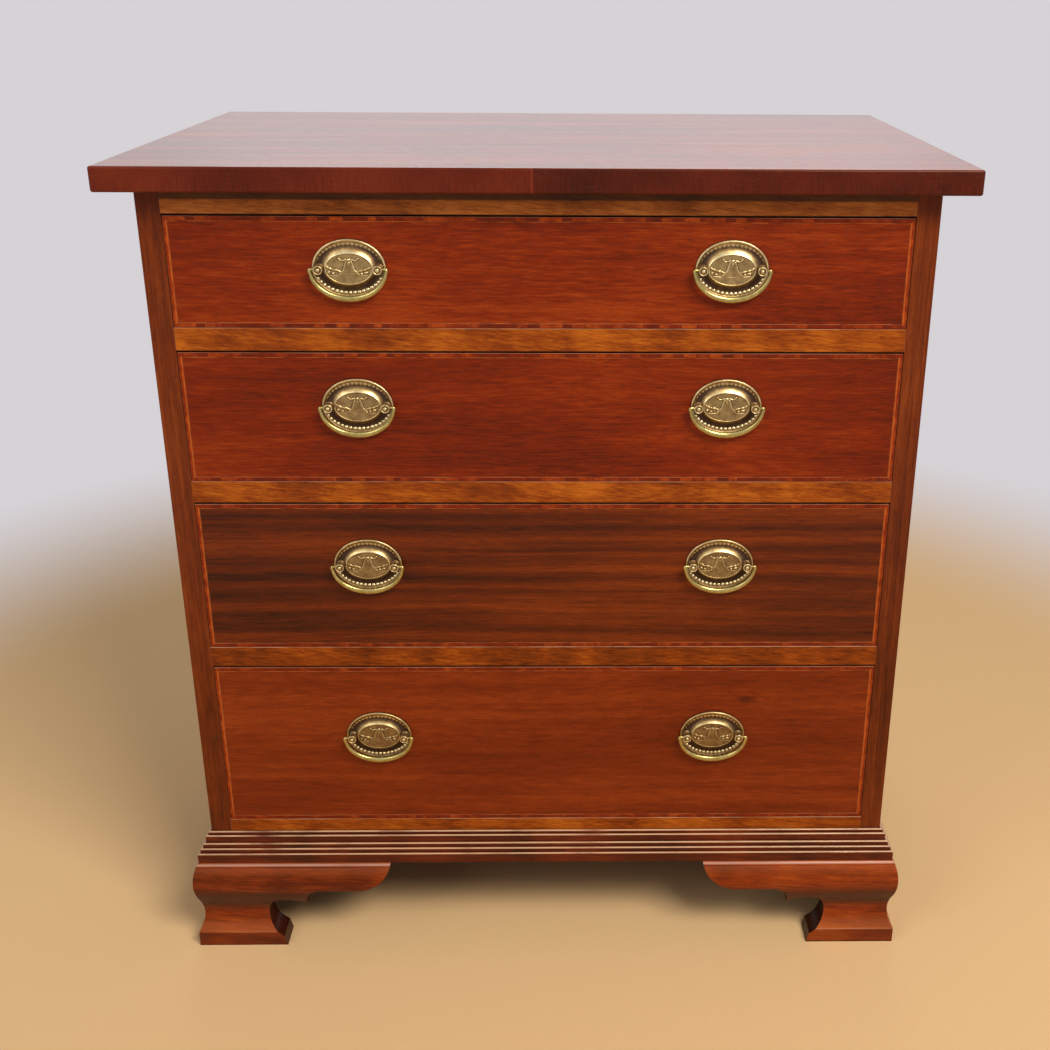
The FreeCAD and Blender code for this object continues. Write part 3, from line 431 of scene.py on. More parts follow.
def banding_material(number):
    """Crossbanding: short cross-grained lengths of orange and dark red, a plain strip up the ends."""
    paint = Paint(f"crossbanding_{number}")
    inwards, at_end = drawer_edges(paint, number)
    place = choose(at_end, paint.x, paint.z)
    uneven = paint.noise(paint.vector(place, 4.0 * number, 0.0), 9.0, 1.0) * 0.05
    tone, _ = paint.cells(place + uneven, BAND_LENGTH)
    soft = paint.noise(paint.vector(place * 110.0, inwards * 150.0, number))
    fibres = paint.noise(paint.vector(place * 1400.0, inwards * 120.0, number))
    lengths = (tone - 0.5) * BAND_CONTRAST[number] + soft * 0.5 + 0.25
    share = choose(at_end, lengths, soft * 0.5 + 0.3) + (fibres - 0.5) * 0.25
    colour = paint.ramp(share, BAND_COLOURS)
    # Painted shade along the front's edges beside the gap, and a dark joint line where the banding meets the
    # field.
    rim = inwards.rise(1.1 * MM, 0.5 * MM)
    inner = inwards.rise(BAND_WIDTH - 0.9 * MM, BAND_WIDTH - 0.4 * MM) * (1 - at_end)
    colour = paint.blend((rim * 0.3).larger(inner * 0.6), colour, BAND_SHADE_AND_JOINT)
    end_line = at_end * inwards.rise(BAND_WIDTH - 2.0 * MM, BAND_WIDTH - 1.3 * MM)
    broken = paint.noise(paint.vector(place, 2.0 * number, 0.0), 70.0).rise(0.3, 0.6)
    colour = paint.blend(end_line * (broken * 0.55 + 0.2), colour, BAND_END_LINE)
    # Painted highlight on the banding's upper edges.
    colour = paint.blend(lit_arris(paint) * 0.6, worn(paint, colour, 0.4), GLEAM)
    return shellacked(paint, colour, soft * 0.2 + 0.3, fibres, 0.08 * MM)


RAILS = {
    # each rail's tone and how much lighter it is, and the drawer under it
    "top_rails": ("top_rail", 0.05, 1),
    "drawer_rail_1": ("rail", 0.05, 2),
    "drawer_rail_2": ("rail", 0.03, 3),
    "drawer_rail_3": ("rail", -0.05, 4),
    "bottom_rail": ("rail", 0.03, None),
}
GAP_OVER_DRAWER = 1.6 * MM
# The painted shadow under the top's overhang starts, and is full, this far below the top.
OVERHANG_SHADOW = (12.0 * MM, 9.5 * MM)
# The colour of painted shade and shadow on the rails.
PAINTED_SHADE = srgb(22, 9, 5)


def rail_material(name, seed):
    """Straight golden-brown rails, whose short ribbon figure alternates."""
    tone, lift, drawer_below = RAILS[name]
    figure = dict(seed=seed, stripe=0.009, wander=0.008, slant=0.08, patch=0.06, fleck=0.012)
    paint, wood, colour = mahogany(name, tone, level_grain, (0.2, 0.5, 0.5, 0.25), lift, 0.45, **figure)
    # Painted highlight on the rail's upper edges.
    colour = paint.blend(lit_arris(paint) * 0.5, worn(paint, colour, 0.45), GLEAM)
    if drawer_below:
        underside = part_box(f"drawer_{drawer_below}_front")[1].z + GAP_OVER_DRAWER
        # Painted shade along the rail's lower edge, over the gap above the drawer.
        gap_shade = paint.z.rise(underside + 1.3 * MM, underside + 0.5 * MM)
        colour = paint.blend(gap_shade * 0.85, colour, PAINTED_SHADE)
    if name == "top_rails":
        # Painted shadow under the top's overhang.
        start, full = (TOP_LOW.z - below for below in OVERHANG_SHADOW)
        colour = paint.blend(paint.z.rise(start, full) * 0.8, colour, PAINTED_SHADE)
    return polished(paint, wood, colour)


# The seed of each stile's figure, and how much lighter it is.
STILES = {"left": (2.0, 0.0), "right": (5.1, -0.045)}


def stile_material(side):
    seed, lift = STILES[side]
    name, weights = f"front_stile_{side}", (0.35, 0.5, 0.6, 0.3)
    figure = dict(seed=seed, stripe=0.007, wander=0.006)
    paint, wood, colour = mahogany(name, "stile", upright_grain, weights, lift, **figure)
    return polished(paint, wood, worn(paint, colour, 0.4))


def side_material(name, seed):
    figure = dict(seed=seed, stripe=0.022, wander=0.03)
    paint, wood, colour = mahogany(name, "side", side_grain, (0.5, 0.4, 0.5, 0.2), **figure)
    return polished(paint, wood, worn(paint, colour, 0.4))


# How long the lengths of veneer on the top's edge are, and how far along they start.
EDGE_LENGTH = 0.44
EDGE_START = 0.227
EDGE_SEAM = srgb(150, 60, 28)


def top_material():
    """A polished top, with cross-grained veneer in lengths round its edge."""
    figure = dict(seed=3.7, stripe=0.03, wander=0.03)
    paint, wood, top = mahogany("top_board", "top", flat_grain, (0.7, 0.4, 0.6, 0.2), **figure)

    on_end = (abs(paint.x) - TOP_HIGH.x).above(TOP_LOW.y - paint.y)
    place = choose(on_end, paint.x, paint.y)
    tone, from_seam = paint.cells(place + EDGE_START, EDGE_LENGTH, 0.0)
    streaks = paint.noise(paint.vector(place * 700.0, paint.z * 40.0, 2.0))
    broad = paint.noise(paint.vector(place * 9.0, paint.z * 12.0, 6.0))
    field = (tone - 0.5) * 0.25 + (broad - 0.5) * 0.5 + (streaks - 0.5) * 0.3 + 0.5
    edge = toned(paint, field, "edge")
    edge = paint.blend(from_seam.rise(1.3 * MM, 0.4 * MM) * 0.4, edge, EDGE_SEAM)
    rim = (TOP_HIGH.x - abs(paint.x)).smaller(paint.y - TOP_LOW.y).smaller(TOP_HIGH.y - paint.y)
    below = paint.z.rise(TOP_HIGH.z - 1 * MM, TOP_HIGH.z - 2 * MM)
    on_edge = rim.rise(1.8 * MM, 0.8 * MM).larger(below)
    colour = paint.blend(on_edge, top, edge)
    return polished(paint, wood, colour, 0.3, coat=choose(on_edge, 0.8, 0.1), coat_roughness=0.12)


def base_material(name, tone, seed, lift=0.0):
    """Mahogany of the moulding and the feet, whose grain runs along each length."""
    figure = dict(seed=seed, stripe=0.012, wander=0.02, slant=0.03, patch=0.09)
    return mahogany(name, tone, turning_grain, (0.4, 0.35, 0.6, 0.35), lift, **figure)


# MOULDING_GLEAM is the colour of a painted highlight.
MOULDING_GLEAM = srgb(226, 178, 134)


def moulding_material():
    """The beads' upper edges carry a painted highlight."""
    paint, wood, colour = base_material("base_moulding", "moulding", 5.1)
    colour = paint.blend(lit_arris(paint, 0.38, 0.6, (0.1, 0.55)) * 0.85, colour, MOULDING_GLEAM)
    return polished(paint, wood, colour, 0.22, coat=0.25, coat_roughness=0.07, shine=0.3)


# The seed of each side's figure, how much lighter it is, the left foot darker as painted shade, and how dark
# its sawn edges are, end grain darkened partly as painted shade.
FEET = {"left": (9.4, -0.1, 0.8), "right": (14.1, 0.0, 0.93)}
PAD_TOP = 19 * MM
# The heights at which the painted highlight on a foot's shoulder starts, is full, is full no more, and ends.
SHOULDER = (108.0 * MM, 111.2 * MM, 113.5 * MM, 114.8 * MM)


def foot_material(side):
    """Painted light where it faces up, painted shade where it faces down, on the pad's face and along the
    floor, painted highlights on the pad's arris and shoulder; sawn edges are darkest, partly as painted
    shade.
    """
    seed, lift, sawn_dark_and_shade = FEET[side]
    paint, wood, colour = base_material(f"bracket_foot_{side}", "foot", seed, lift)
    across, forwards, upward = paint.facing()
    on_side = (abs(paint.x) - HALF_WIDTH).above(FRONT - paint.y)
    shaped = choose(on_side, abs(forwards), abs(across)).larger(forwards.rise(0.8, 0.9))
    sawn = shaped.rise(0.2, 0.08)
    face = 1 - sawn
    patches = paint.noise(paint.place, 16.0, 3.0)
    pad = paint.z.rise(PAD_TOP + 0.5 * MM, PAD_TOP - 0.5 * MM)
    arris_low = paint.z.rise(PAD_TOP - 1.6 * MM, PAD_TOP)
    arris_high = paint.z.rise(PAD_TOP + 1.8 * MM, PAD_TOP + 0.4 * MM)
    start, full, full_end, end = SHOULDER
    shoulder = upward.rise(0.3, 0.6) * paint.z.rise(start, full) * paint.z.rise(end, full_end) * face
    faces_up_light, faces_down_shade = upward.rise(0.1, 0.5) * face, upward.rise(0.06, -0.3) * face
    arris = arris_low * arris_high * face * patches.rise(0.35, 0.6)
    # Painted light on upward faces; painted shade on downward faces, the pad's face and along the floor;
    # painted highlights on the pad's arris and shoulder; sawn end grain darkened, partly as painted shade.
    for share, tone in (
        (faces_up_light * 0.35, srgb(196, 104, 40)),
        (faces_down_shade * 0.9, srgb(56, 21, 8)),
        (pad * face * 0.3, srgb(72, 26, 10)),
        (arris * 0.4, srgb(206, 138, 96)),
        (paint.z.rise(3 * MM, 0.5 * MM) * 0.6, srgb(40, 15, 6)),
        (shoulder * (patches * 0.6 + 0.2), srgb(222, 178, 160)),
        (sawn * sawn_dark_and_shade, srgb(24, 10, 5)),
    ):
        colour = paint.blend(share, colour, tone)
    return polished(paint, wood, colour, 0.26, coat=choose(sawn, 0.3, 0.0), coat_roughness=0.12)


BOARD_JOINT = srgb(40, 26, 16)


def plain_wood(name, tones, grain, seed, stripe, boards=None):
    """Planed wood without polish; boards says where the first of several starts and how wide each is."""
    paint = Paint(name)
    along, across, depth = grain(paint)
    if boards:
        start, width = boards
        place = (paint.x - start) * (1 / width)
        board = paint.math("FLOOR", place)
        along = along + board * 1.7
    wood = Wood(paint, (along, across, depth), seed, stripe, 0.02, fleck=0.09)
    field = wood.figure((0.55, 0.35, 0.45))
    if boards:
        tone = paint.noise(paint.vector(board * 3.3 + seed, 0.0, 0.0), detail=0.0)
        field = field + (tone - 0.5) * 0.5
    dark, middle, light = tones
    colour = paint.ramp(field, [(0.28, dark), (0.5, middle), (0.72, light)])
    if boards:
        in_board = place - board
        from_joint = in_board.smaller(1.0 - in_board) * width
        colour = paint.blend(from_joint.rise(1.3 * MM, 0.5 * MM) * 0.8, colour, BOARD_JOINT)
    colour = paint.blend(wood.dark_pores(0.6, 0.74) * 0.35, colour, dark)
    grime = paint.noise(paint.place, 5.0, 4.0, 0.6).rise(0.52, 0.75)
    colour = worn(paint, paint.blend(grime * 0.35, colour, dark), 0.35, dark)
    relief = wood.streaks - wood.dark_pores() * 0.8
    return paint.finish(colour, wood.streaks * 0.2 + 0.58, relief, 0.2 * MM, Specular_IOR_Level=0.25)


OAK = (srgb(126, 84, 48), srgb(174, 128, 80), srgb(200, 158, 108))
PINE = (srgb(118, 72, 38), srgb(164, 108, 62), srgb(190, 138, 88))
# Dusty pine for the bottom board, darkened further as painted shade under the chest.
SHADED_DUSTY_PINE = (srgb(44, 28, 18), srgb(66, 44, 28), srgb(88, 62, 40))

# ---- brass

CAST_BRASS = (srgb(232, 216, 168), srgb(188, 160, 104), srgb(128, 100, 65), srgb(78, 58, 45))
HANDLED_BRASS = (srgb(214, 198, 134), srgb(176, 157, 91), srgb(138, 117, 61), srgb(90, 72, 36))


def brass_material(name, tones, roughness, cast):
    """Aged brass: bright on the high spots, brown and dull in the hollows of a casting; a casting also
    carries painted shade and highlights in its tones.
    """
    paint = Paint(name)
    fine = paint.noise(paint.place, 900.0, 3.0, 0.6)
    mottle = paint.noise(paint.place, 160.0, 3.0, 0.6)
    if cast:
        hollow_and_shade = Field(paint, paint.node("ShaderNodeAttribute", attribute_name="hollow_and_shade").outputs["Fac"])
        patina_and_shade = hollow_and_shade + (mottle - 0.5) * 0.5 + (fine - 0.5) * 0.15
    else:
        patina_and_shade = mottle * 0.5 + (fine - 0.5) * 0.2
    colour = paint.ramp(patina_and_shade, list(zip((0.05, 0.3, 0.6, 0.95), tones)))
    varied = patina_and_shade.rise(0.1, 0.9) * 0.2 + (fine - 0.5) * 0.08 + roughness
    return paint.finish(colour, varied, fine + mottle, 0.025 * MM, Metallic=1.0)


# ---- geometry helpers


def soften(node, width):
    """Round a flat piece's sharp edges a little, once the triangles of its faces are joined up."""
    weld = node.modifiers.new("weld", "WELD")
    weld.merge_threshold = 0.01 * MM
    joined = node.modifiers.new("joined_faces", "DECIMATE")
    joined.decimate_type = "DISSOLVE"
    joined.angle_limit = math.radians(0.5)
    bevel = node.modifiers.new("softened_edges", "BEVEL")
    bevel.width = width
    bevel.segments = 2
    bevel.limit_method = "ANGLE"
    bevel.angle_limit = math.radians(32)


def dress(node_name, material):
    """Gives a piece of the frame its material."""
    node = frame["nodes"][node_name]
    node.data.materials.clear()
    node.data.materials.append(material)
    return node


def piece(name, vertices, faces, material, smooth=True):
    mesh = bpy.data.meshes.new(name)
    mesh.from_pydata([tuple(vertex) for vertex in vertices], [], faces)
    mesh.polygons.foreach_set("use_smooth", [smooth] * len(mesh.polygons))
    mesh.materials.append(material)
    made = bpy.data.objects.new(name, mesh)
    bpy.context.scene.collection.objects.link(made)
    return made


def ring_faces(rings, segments):
    """Quads between rings of vertices."""
    faces = []
    for ring in range(rings - 1):
        low, high = ring * segments, (ring + 1) * segments
        for step in range(segments):
            beside = (step + 1) % segments
            faces.append((low + step, low + beside, high + beside, high + step))
    return faces


def cap(first, segments):
    """The face over a ring of vertices, facing as the ring turns."""
    return tuple(range(first, first + segments))


def tube_faces(rings, segments):
    """Quads between rings of vertices, and a face over each end."""
    ends = [cap(0, segments)[::-1], cap((rings - 1) * segments, segments)]
    return ring_faces(rings, segments) + ends


def lathe(profile, segments, centre):
    """A form turned about the line forwards through centre; profile pairs radii and places along it."""
    vertices = []
    for radius, stand_off in profile:
        for step in range(segments):
            angle = 2 * math.pi * step / segments
            place = Vector((radius * math.cos(angle), -stand_off, radius * math.sin(angle)))
            vertices.append(centre + place * MM)
    return vertices, tube_faces(len(profile), segments)


class Casting:
    """A brass piece, gathered form by form, with a tone at each vertex: old polish in its hollows and, on
    the plates, painted shade and highlights.
    """

    def __init__(self):
        self.vertices, self.faces, self.tones = [], [], []

    def add(self, vertices, faces, tones):
        """Adds a form, whose faces count its own vertices."""
        first = len(self.vertices)
        self.vertices += vertices
        self.faces += [tuple(first + index for index in face) for face in faces]
        self.tones += tones

    def turn(self, profile, segments, centre, ring_tones):
        """Adds a turned form, with a tone for each ring of its profile."""
        vertices, faces = lathe(profile, segments, centre)
        self.add(vertices, faces, [tone for tone in ring_tones for _ in range(segments)])

    def finish(self, name, material):
        """The piece; its attribute says how dark the casting is at each vertex, with old polish in its
        hollows and, on the plates, painted shade and highlights.
        """
        made = piece(name, self.vertices, self.faces, material)
        attribute = made.data.attributes.new("hollow_and_shade", "FLOAT", "POINT")
        attribute.data.foreach_set("value", self.tones)
        return made


def pull_centre(number, side):
    """Where the middle of a pull meets its drawer front."""
    centre = HINGES[f"drawer_{number}_bail_{side}"].copy()
    centre.y = FRONT
    return centre


# ---- backplates

RING_SEGMENTS = 240
# Semi-axes and stand-off of the backplate's profile, from its back edge to the face of its raised oval.
PLATE_PROFILE = [
    (37.3, 29.9, 0.0), (37.3, 29.9, 0.9), (37.15, 29.75, 1.6), (36.85, 29.45, 2.15), (36.45, 29.05, 2.45),
    (36.05, 28.65, 2.5), (35.6, 28.2, 2.35), (35.2, 27.8, 2.05), (34.7, 27.3, 1.75), (34.1, 26.6, 1.5),
    (33.3, 25.7, 1.3), (32.3, 24.6, 1.05), (31.2, 23.4, 0.9), (30.2, 22.3, 0.95), (29.2, 21.3, 1.15),
    (28.3, 20.3, 1.45), (27.4, 19.4, 1.85), (26.5, 18.5, 2.35), (25.7, 17.7, 2.85), (25.0, 17.0, 3.35),
    (24.4, 16.4, 3.8), (24.0, 16.0, 4.1), (23.75, 15.75, 4.2), (23.5, 15.5, 4.2), (23.25, 15.25, 4.05),
    (23.0, 15.0, 3.85),
]
FACE_STAND = 3.8
FACE_RINGS = 52
# Relief on the raised oval: an urn hung with drapery between two swags.
# Strokes: points (across, up), half width, height. Blobs: centre, radii, turn, height.
STROKES = [
    ([(-9.4, 10.4), (-8.0, 8.6), (-5.8, 8.2), (-3.0, 9.3)], 0.85, 0.8),
    ([(3.5, 9.3), (6.2, 8.2), (8.5, 8.7), (9.8, 10.4)], 0.85, 0.8),
    ([(-22.2, 2.2), (-19.4, 0.4), (-15.6, -0.9), (-11.6, -1.2), (-8.4, -3.0)], 0.9, 0.65),
    ([(8.8, -3.0), (12.4, -1.8), (16.6, -0.9), (20.0, 0.2), (22.0, 1.4)], 0.9, 0.65),
    ([(-2.2, 7.2), (-3.4, 3.6), (-5.0, -1.6), (-9.0, -6.0)], 1.2, 0.85),
    ([(2.8, 7.2), (4.0, 3.6), (5.6, -1.6), (9.6, -6.0)], 1.2, 0.85),
    ([(0.3, 3.0), (0.3, -5.6)], 0.5, 0.75),
    ([(-19.4, -6.9), (-9.0, -7.3), (0.0, -7.5), (9.0, -7.3), (19.0, -6.9)], 0.6, 0.4),
]
BLOBS = [
    ((0.3, 8.9), (2.3, 1.9), 0, 1.6),
    ((0.3, 4.6), (1.8, 3.2), 0, 1.3),
    ((-9.4, 10.2), (1.1, 1.0), 0, 1.0),
    ((9.8, 10.2), (1.1, 1.0), 0, 1.0),
    ((-22.0, 2.1), (1.2, 1.4), 20, 0.8),
    ((-18.4, 0.2), (2.1, 1.3), -35, 1.1),
    ((-13.0, -1.3), (2.6, 1.4), -8, 1.1),
    ((-20.4, -3.6), (1.7, 1.4), 10, 1.0),
    ((-16.0, -4.8), (1.5, 1.1), 0, 0.75),
    ((12.2, -2.0), (2.5, 1.4), 10, 1.1),
    ((16.9, -0.9), (2.1, 1.3), 15, 1.05),
    ((20.8, 0.6), (1.6, 1.1), 18, 0.8),
    ((17.4, -4.0), (2.1, 1.3), 5, 0.95),
    ((12.9, -5.0), (1.4, 1.0), 0, 0.7),
]
URN_MIDDLE = 0.3
DRAPERY_TOP, DRAPERY_HEM = 7.4, -7.0
DRAPERY_NECK, DRAPERY_FLARE = 3.0, 6.4
# The ground under the urn is a little raised.
GROUND_TOP = -7.6
GROUND_STEP = 0.3


def stroke_relief(across, up, points, half_width, height):
    """Rounded ridge along a line through points."""
    nearest = np.full(across.shape, np.inf)
    for (x0, z0), (x1, z1) in zip(points, points[1:]):
        run_x, run_z = x1 - x0, z1 - z0
        share = ((across - x0) * run_x + (up - z0) * run_z) / (run_x**2 + run_z**2)
        share = np.clip(share, 0, 1)
        nearest = np.minimum(nearest, np.hypot(across - x0 - share * run_x, up - z0 - share * run_z))
    return height * np.sqrt(np.clip(1 - (nearest / half_width) ** 2, 0, 1))


def blob_relief(across, up, centre, radii, turn, height):
    """Rounded bump on a turned oval."""
    angle = math.radians(turn)
    x, z = across - centre[0], up - centre[1]
    along = (x * math.cos(angle) + z * math.sin(angle)) / radii[0]
    beside = (z * math.cos(angle) - x * math.sin(angle)) / radii[1]
    return height * np.sqrt(np.clip(1 - along**2 - beside**2, 0, 1))


def drapery_relief(across, up):
    """A cloth that flares from the urn's neck to its hem and is thicker at its two sides."""
    fallen = np.clip((DRAPERY_TOP - up) / (DRAPERY_TOP - DRAPERY_HEM), 0, 1)
    half = DRAPERY_NECK + DRAPERY_FLARE * fallen**2.2
    beside = np.abs(across - URN_MIDDLE) / half
    inside = np.clip((1 - beside) * half / 0.9, 0, 1)
    ends = np.clip((DRAPERY_TOP - up) / 0.7, 0, 1) * np.clip((up - DRAPERY_HEM) / 0.7, 0, 1)
    return (0.4 + 0.55 * beside**3) * np.sqrt(inside) * ends


def plate_relief(across, up):
    """How far the cast figure stands above the raised oval's face."""
    relief = GROUND_STEP / (1 + np.exp((up - GROUND_TOP) * 5))
    relief = np.maximum(relief, drapery_relief(across, up))
    for stroke in STROKES:
        relief = np.maximum(relief, stroke_relief(across, up, *stroke))
    for blob in BLOBS:
        relief = np.maximum(relief, blob_relief(across, up, *blob))
    return relief


def plate_grid():
    """Across, up and stand-off of every vertex of the plate, ring by ring."""
    angles = np.linspace(0, 2 * math.pi, RING_SEGMENTS, endpoint=False)
    across = [a * np.cos(angles) for a, _, _ in PLATE_PROFILE]
    up = [b * np.sin(angles) for _, b, _ in PLATE_PROFILE]
    stand = [np.full(RING_SEGMENTS, height) for _, _, height in PLATE_PROFILE]
    inner_a, inner_b, _ = PLATE_PROFILE[-1]
    for ring in range(1, FACE_RINGS):
        share = 1 - ring / FACE_RINGS
        across.append(inner_a * share * np.cos(angles))
        up.append(inner_b * share * np.sin(angles))
        inwards = 1 - np.exp(-(1 - share) * 24)
        stand.append(FACE_STAND + inwards * plate_relief(across[-1], up[-1]))
    return np.array(across), np.array(up), np.array(stand)


# The rings of the plate's rounded rim, of the sunk bed of its beads, and of the wall up to its raised oval.
RIM = slice(0, 8)
BED = slice(8, 20)
WALL = slice(13, 22)
PROFILE_TONE, FACE_TONE = 0.36, 0.42
SMOOTHINGS = 5


def plate_tones(across, up, stand):
    """How dark each vertex is: with old polish beside its neighbours and by its depth, and by its place with
    painted shade and a painted highlight.
    """
    around = stand.copy()
    for _ in range(SMOOTHINGS):
        padded = np.vstack([around[:1], around, around[-1:]])
        sideways = (np.roll(around, 1, 1) + np.roll(around, -1, 1)) / 2
        around = (padded[:-2] + padded[2:] + sideways + around) / 4
    near = np.clip((around - stand) * 2.0, -0.22, 0.4)
    deep = np.clip((2.0 - stand) * 0.1, 0, 0.12)

    own = np.full(stand.shape, FACE_TONE)
    own[: len(PLATE_PROFILE)] = PROFILE_TONE
    wall_rings = WALL.stop - WALL.start
    lower_wall = np.sin(np.linspace(0.2, 2.9, wall_rings))[:, None]
    upper_wall = np.sin(np.linspace(0.0, 2.7, wall_rings))[:, None]
    # Painted shade on the lower wall and a painted highlight on the upper wall.
    own[WALL] += 0.3 * np.clip(-up[WALL] / 13, 0, 1) * lower_wall
    own[WALL] -= 0.1 * np.clip(up[WALL] / 14, 0, 1) ** 2 * upper_wall
    # Painted shadow of the bail on the lower rim.
    own[RIM] += 0.3 * np.clip(-up[RIM] / 20, 0, 1)
    # Darker towards the two ends of the bead bed.
    own[BED] += 0.26 * np.clip(np.abs(across[BED]) / 24 - 0.6, 0, 0.5) * 2
    return np.clip(own + near + deep, 0, 1)


BEAD_RADIUS = 2.25
BEAD_HEIGHT = 1.4
BEAD_STAND = 1.1
BEAD_RING = (35.3, 25.2)
BEAD_COUNT = 42
BEAD_SEGMENTS = 12
BEAD_STEPS = 5
BEADLESS_HEIGHT = 9.0
# The upper beads are darker as painted shade under the rim.
UPPER_BEAD_TONE, LOWER_BEAD_TONE = 0.58, 0.38


def bead_places():
    """Evenly spaced places on the oval of beads, apart from those that the posts' bosses take."""
    angles = np.linspace(-math.pi / 2, 1.5 * math.pi, 2001)
    across, up = BEAD_RING[0] * np.cos(angles), BEAD_RING[1] * np.sin(angles)
    run = np.concatenate([[0], np.cumsum(np.hypot(np.diff(across), np.diff(up)))])
    wanted = np.arange(BEAD_COUNT) / BEAD_COUNT * run[-1]
    places = zip(np.interp(wanted, run, across), np.interp(wanted, run, up))
    return [(float(x), float(z)) for x, z in places if abs(z) > BEADLESS_HEIGHT]


def bead_profile(upper):
    """A pearl, from its foot up; those on the plate's upper half are worn lower."""
    height = BEAD_HEIGHT * (0.25 if upper else 1.0)
    profile = [(BEAD_RADIUS, 0.3)]
    for step in range(BEAD_STEPS):
        angle = math.pi / 2 * step / BEAD_STEPS
        profile.append((BEAD_RADIUS * math.cos(angle), BEAD_STAND + height * math.sin(angle)))
    return profile + [(0.15, BEAD_STAND + height)]


BOSS_PROFILE = [
    (5.2, 0.3), (5.2, 1.5), (4.9, 2.0), (4.3, 2.3), (4.0, 2.7), (3.9, 3.1), (3.6, 3.25), (2.4, 3.2),
]
BOSS_SEGMENTS = 36
BOSS_TONE = 0.66
POST_OFFSETS = (-29.7, 29.7)
MIDDLE_TONE = 0.2
# How much darker, as painted shade, each drawer's plates are than those of the drawer above.
LOWER_PLATE_SHADE = 0.045


def add_oval(casting, centre, grid, hollow_and_shade):
    """Adds a cast oval with its relief, closed by a fan in the middle and by one face at the back."""
    across, up, stand = grid
    places = zip(across.ravel(), up.ravel(), stand.ravel())
    vertices = [centre + Vector((x, -height, z)) * MM for x, z, height in places]
    middle = len(vertices)
    middle_stand = FACE_STAND + float(plate_relief(np.array(0.0), np.array(0.0)))
    vertices.append(centre + Vector((0, -middle_stand, 0)) * MM)
    last = middle - RING_SEGMENTS
    fan = [(last + step, last + (step + 1) % RING_SEGMENTS, middle) for step in range(RING_SEGMENTS)]
    faces = [*ring_faces(len(across), RING_SEGMENTS), *fan, cap(0, RING_SEGMENTS)[::-1]]
    casting.add(vertices, faces, [*hollow_and_shade.ravel(), MIDDLE_TONE])


def make_plates(number, material):
    """Both cast backplates of one drawer, with their beads and the bosses under the posts."""
    grid = plate_grid()
    hollow_and_shade = plate_tones(*grid) + LOWER_PLATE_SHADE * (number - 1)
    casting = Casting()
    for side in SIDES:
        centre = pull_centre(number, side)
        add_oval(casting, centre, grid, hollow_and_shade)
        for x, z in bead_places():
            profile = bead_profile(z > 0)
            foot_tone = UPPER_BEAD_TONE if z > 0 else LOWER_BEAD_TONE
            tones = [foot_tone - 0.06 * ring for ring in range(len(profile))]
            casting.turn(profile, BEAD_SEGMENTS, centre + Vector((x, 0, z)) * MM, tones)
        for offset in POST_OFFSETS:
            middle = centre + Vector((offset, 0, 0)) * MM
            casting.turn(BOSS_PROFILE, BOSS_SEGMENTS, middle, [BOSS_TONE] * len(BOSS_PROFILE))
    return casting.finish(f"drawer_{number}_cast_plates", material)


# ---- posts, nuts and bails

HEAD_PROFILE = [
    (3.1, 2.6), (3.1, 4.6), (3.3, 5.0), (3.9, 5.4), (4.2, 6.1), (4.2, 9.6),
    (4.35, 10.2), (4.6, 10.6), (4.75, 11.1), (4.7, 11.6), (4.45, 12.0), (4.1, 12.15),
    (3.7, 12.05), (3.4, 11.7), (3.2, 11.2), (2.9, 10.9), (2.5, 10.8), (2.25, 11.0),
    (2.15, 11.6), (2.0, 12.2), (1.7, 12.65), (1.2, 12.95), (0.6, 13.1), (0.1, 13.12),
]
HEAD_GROOVE = range(13, 19)
SHANK_RADIUS = 2.2
THREAD_PITCH = 0.8
THREAD_DEPTH = 0.35
# A chamfered nut behind the drawer front, from its back edge forwards.
NUT_PROFILE = [(5.16, -24.0), (6.0, -23.3), (6.0, -20.45), (5.28, -20.0)]
NUT_SIDES = 6
POST_SEGMENTS = 28
POST_TONE, GROOVE_TONE, NUT_TONE = 0.18, 0.46, 0.4


def thread_profile():
    """A shank, from the threaded end that shows behind its nut forwards."""
    profile = [(1.2, -26.0), (1.7, -25.8)]
    place = -25.6
    while place < -2.0:
        profile += [(SHANK_RADIUS, place), (SHANK_RADIUS - THREAD_DEPTH, place + THREAD_PITCH / 2)]
        place += THREAD_PITCH
    return profile + [(SHANK_RADIUS, 0.0), (SHANK_RADIUS, 2.8)]


def make_posts(number, material):
    """The four posts of a drawer's pulls, with their nuts. Old polish darkens the groove of each head."""
    head_tones = [GROOVE_TONE if ring in HEAD_GROOVE else POST_TONE for ring in range(len(HEAD_PROFILE))]
    shank = thread_profile()
    casting = Casting()
    for side in SIDES:
        for offset in POST_OFFSETS:
            middle = pull_centre(number, side) + Vector((offset, 0, 0)) * MM
            casting.turn(HEAD_PROFILE, POST_SEGMENTS, middle, head_tones)
            casting.turn(shank, POST_SEGMENTS, middle, [POST_TONE] * len(shank))
            casting.turn(NUT_PROFILE, NUT_SIDES, middle, [NUT_TONE] * len(NUT_PROFILE))
    return casting.finish(f"drawer_{number}_turned_posts", material)


BAIL_HALF_WIDTH = 38.0
BAIL_DROP = 30.2
BAIL_LEAN = 2.2
BAIL_SEGMENTS = 24
# The pin in a post and the turned end of the wire: across, up, and the radii across and along the depth.
BAIL_PIN = [(across, 0.55, 1.25, 1.25) for across in (26.5, 30.0, 33.0, 35.2)] + [
    (36.6, 0.55, 1.5, 1.5), (37.7, 0.35, 2.05, 2.0), (38.2, -0.6, 2.3, 2.15), (38.25, -2.2, 2.2, 2.1),
]
BOW_STEPS = 44
BOW_FIRST_STEP = 3


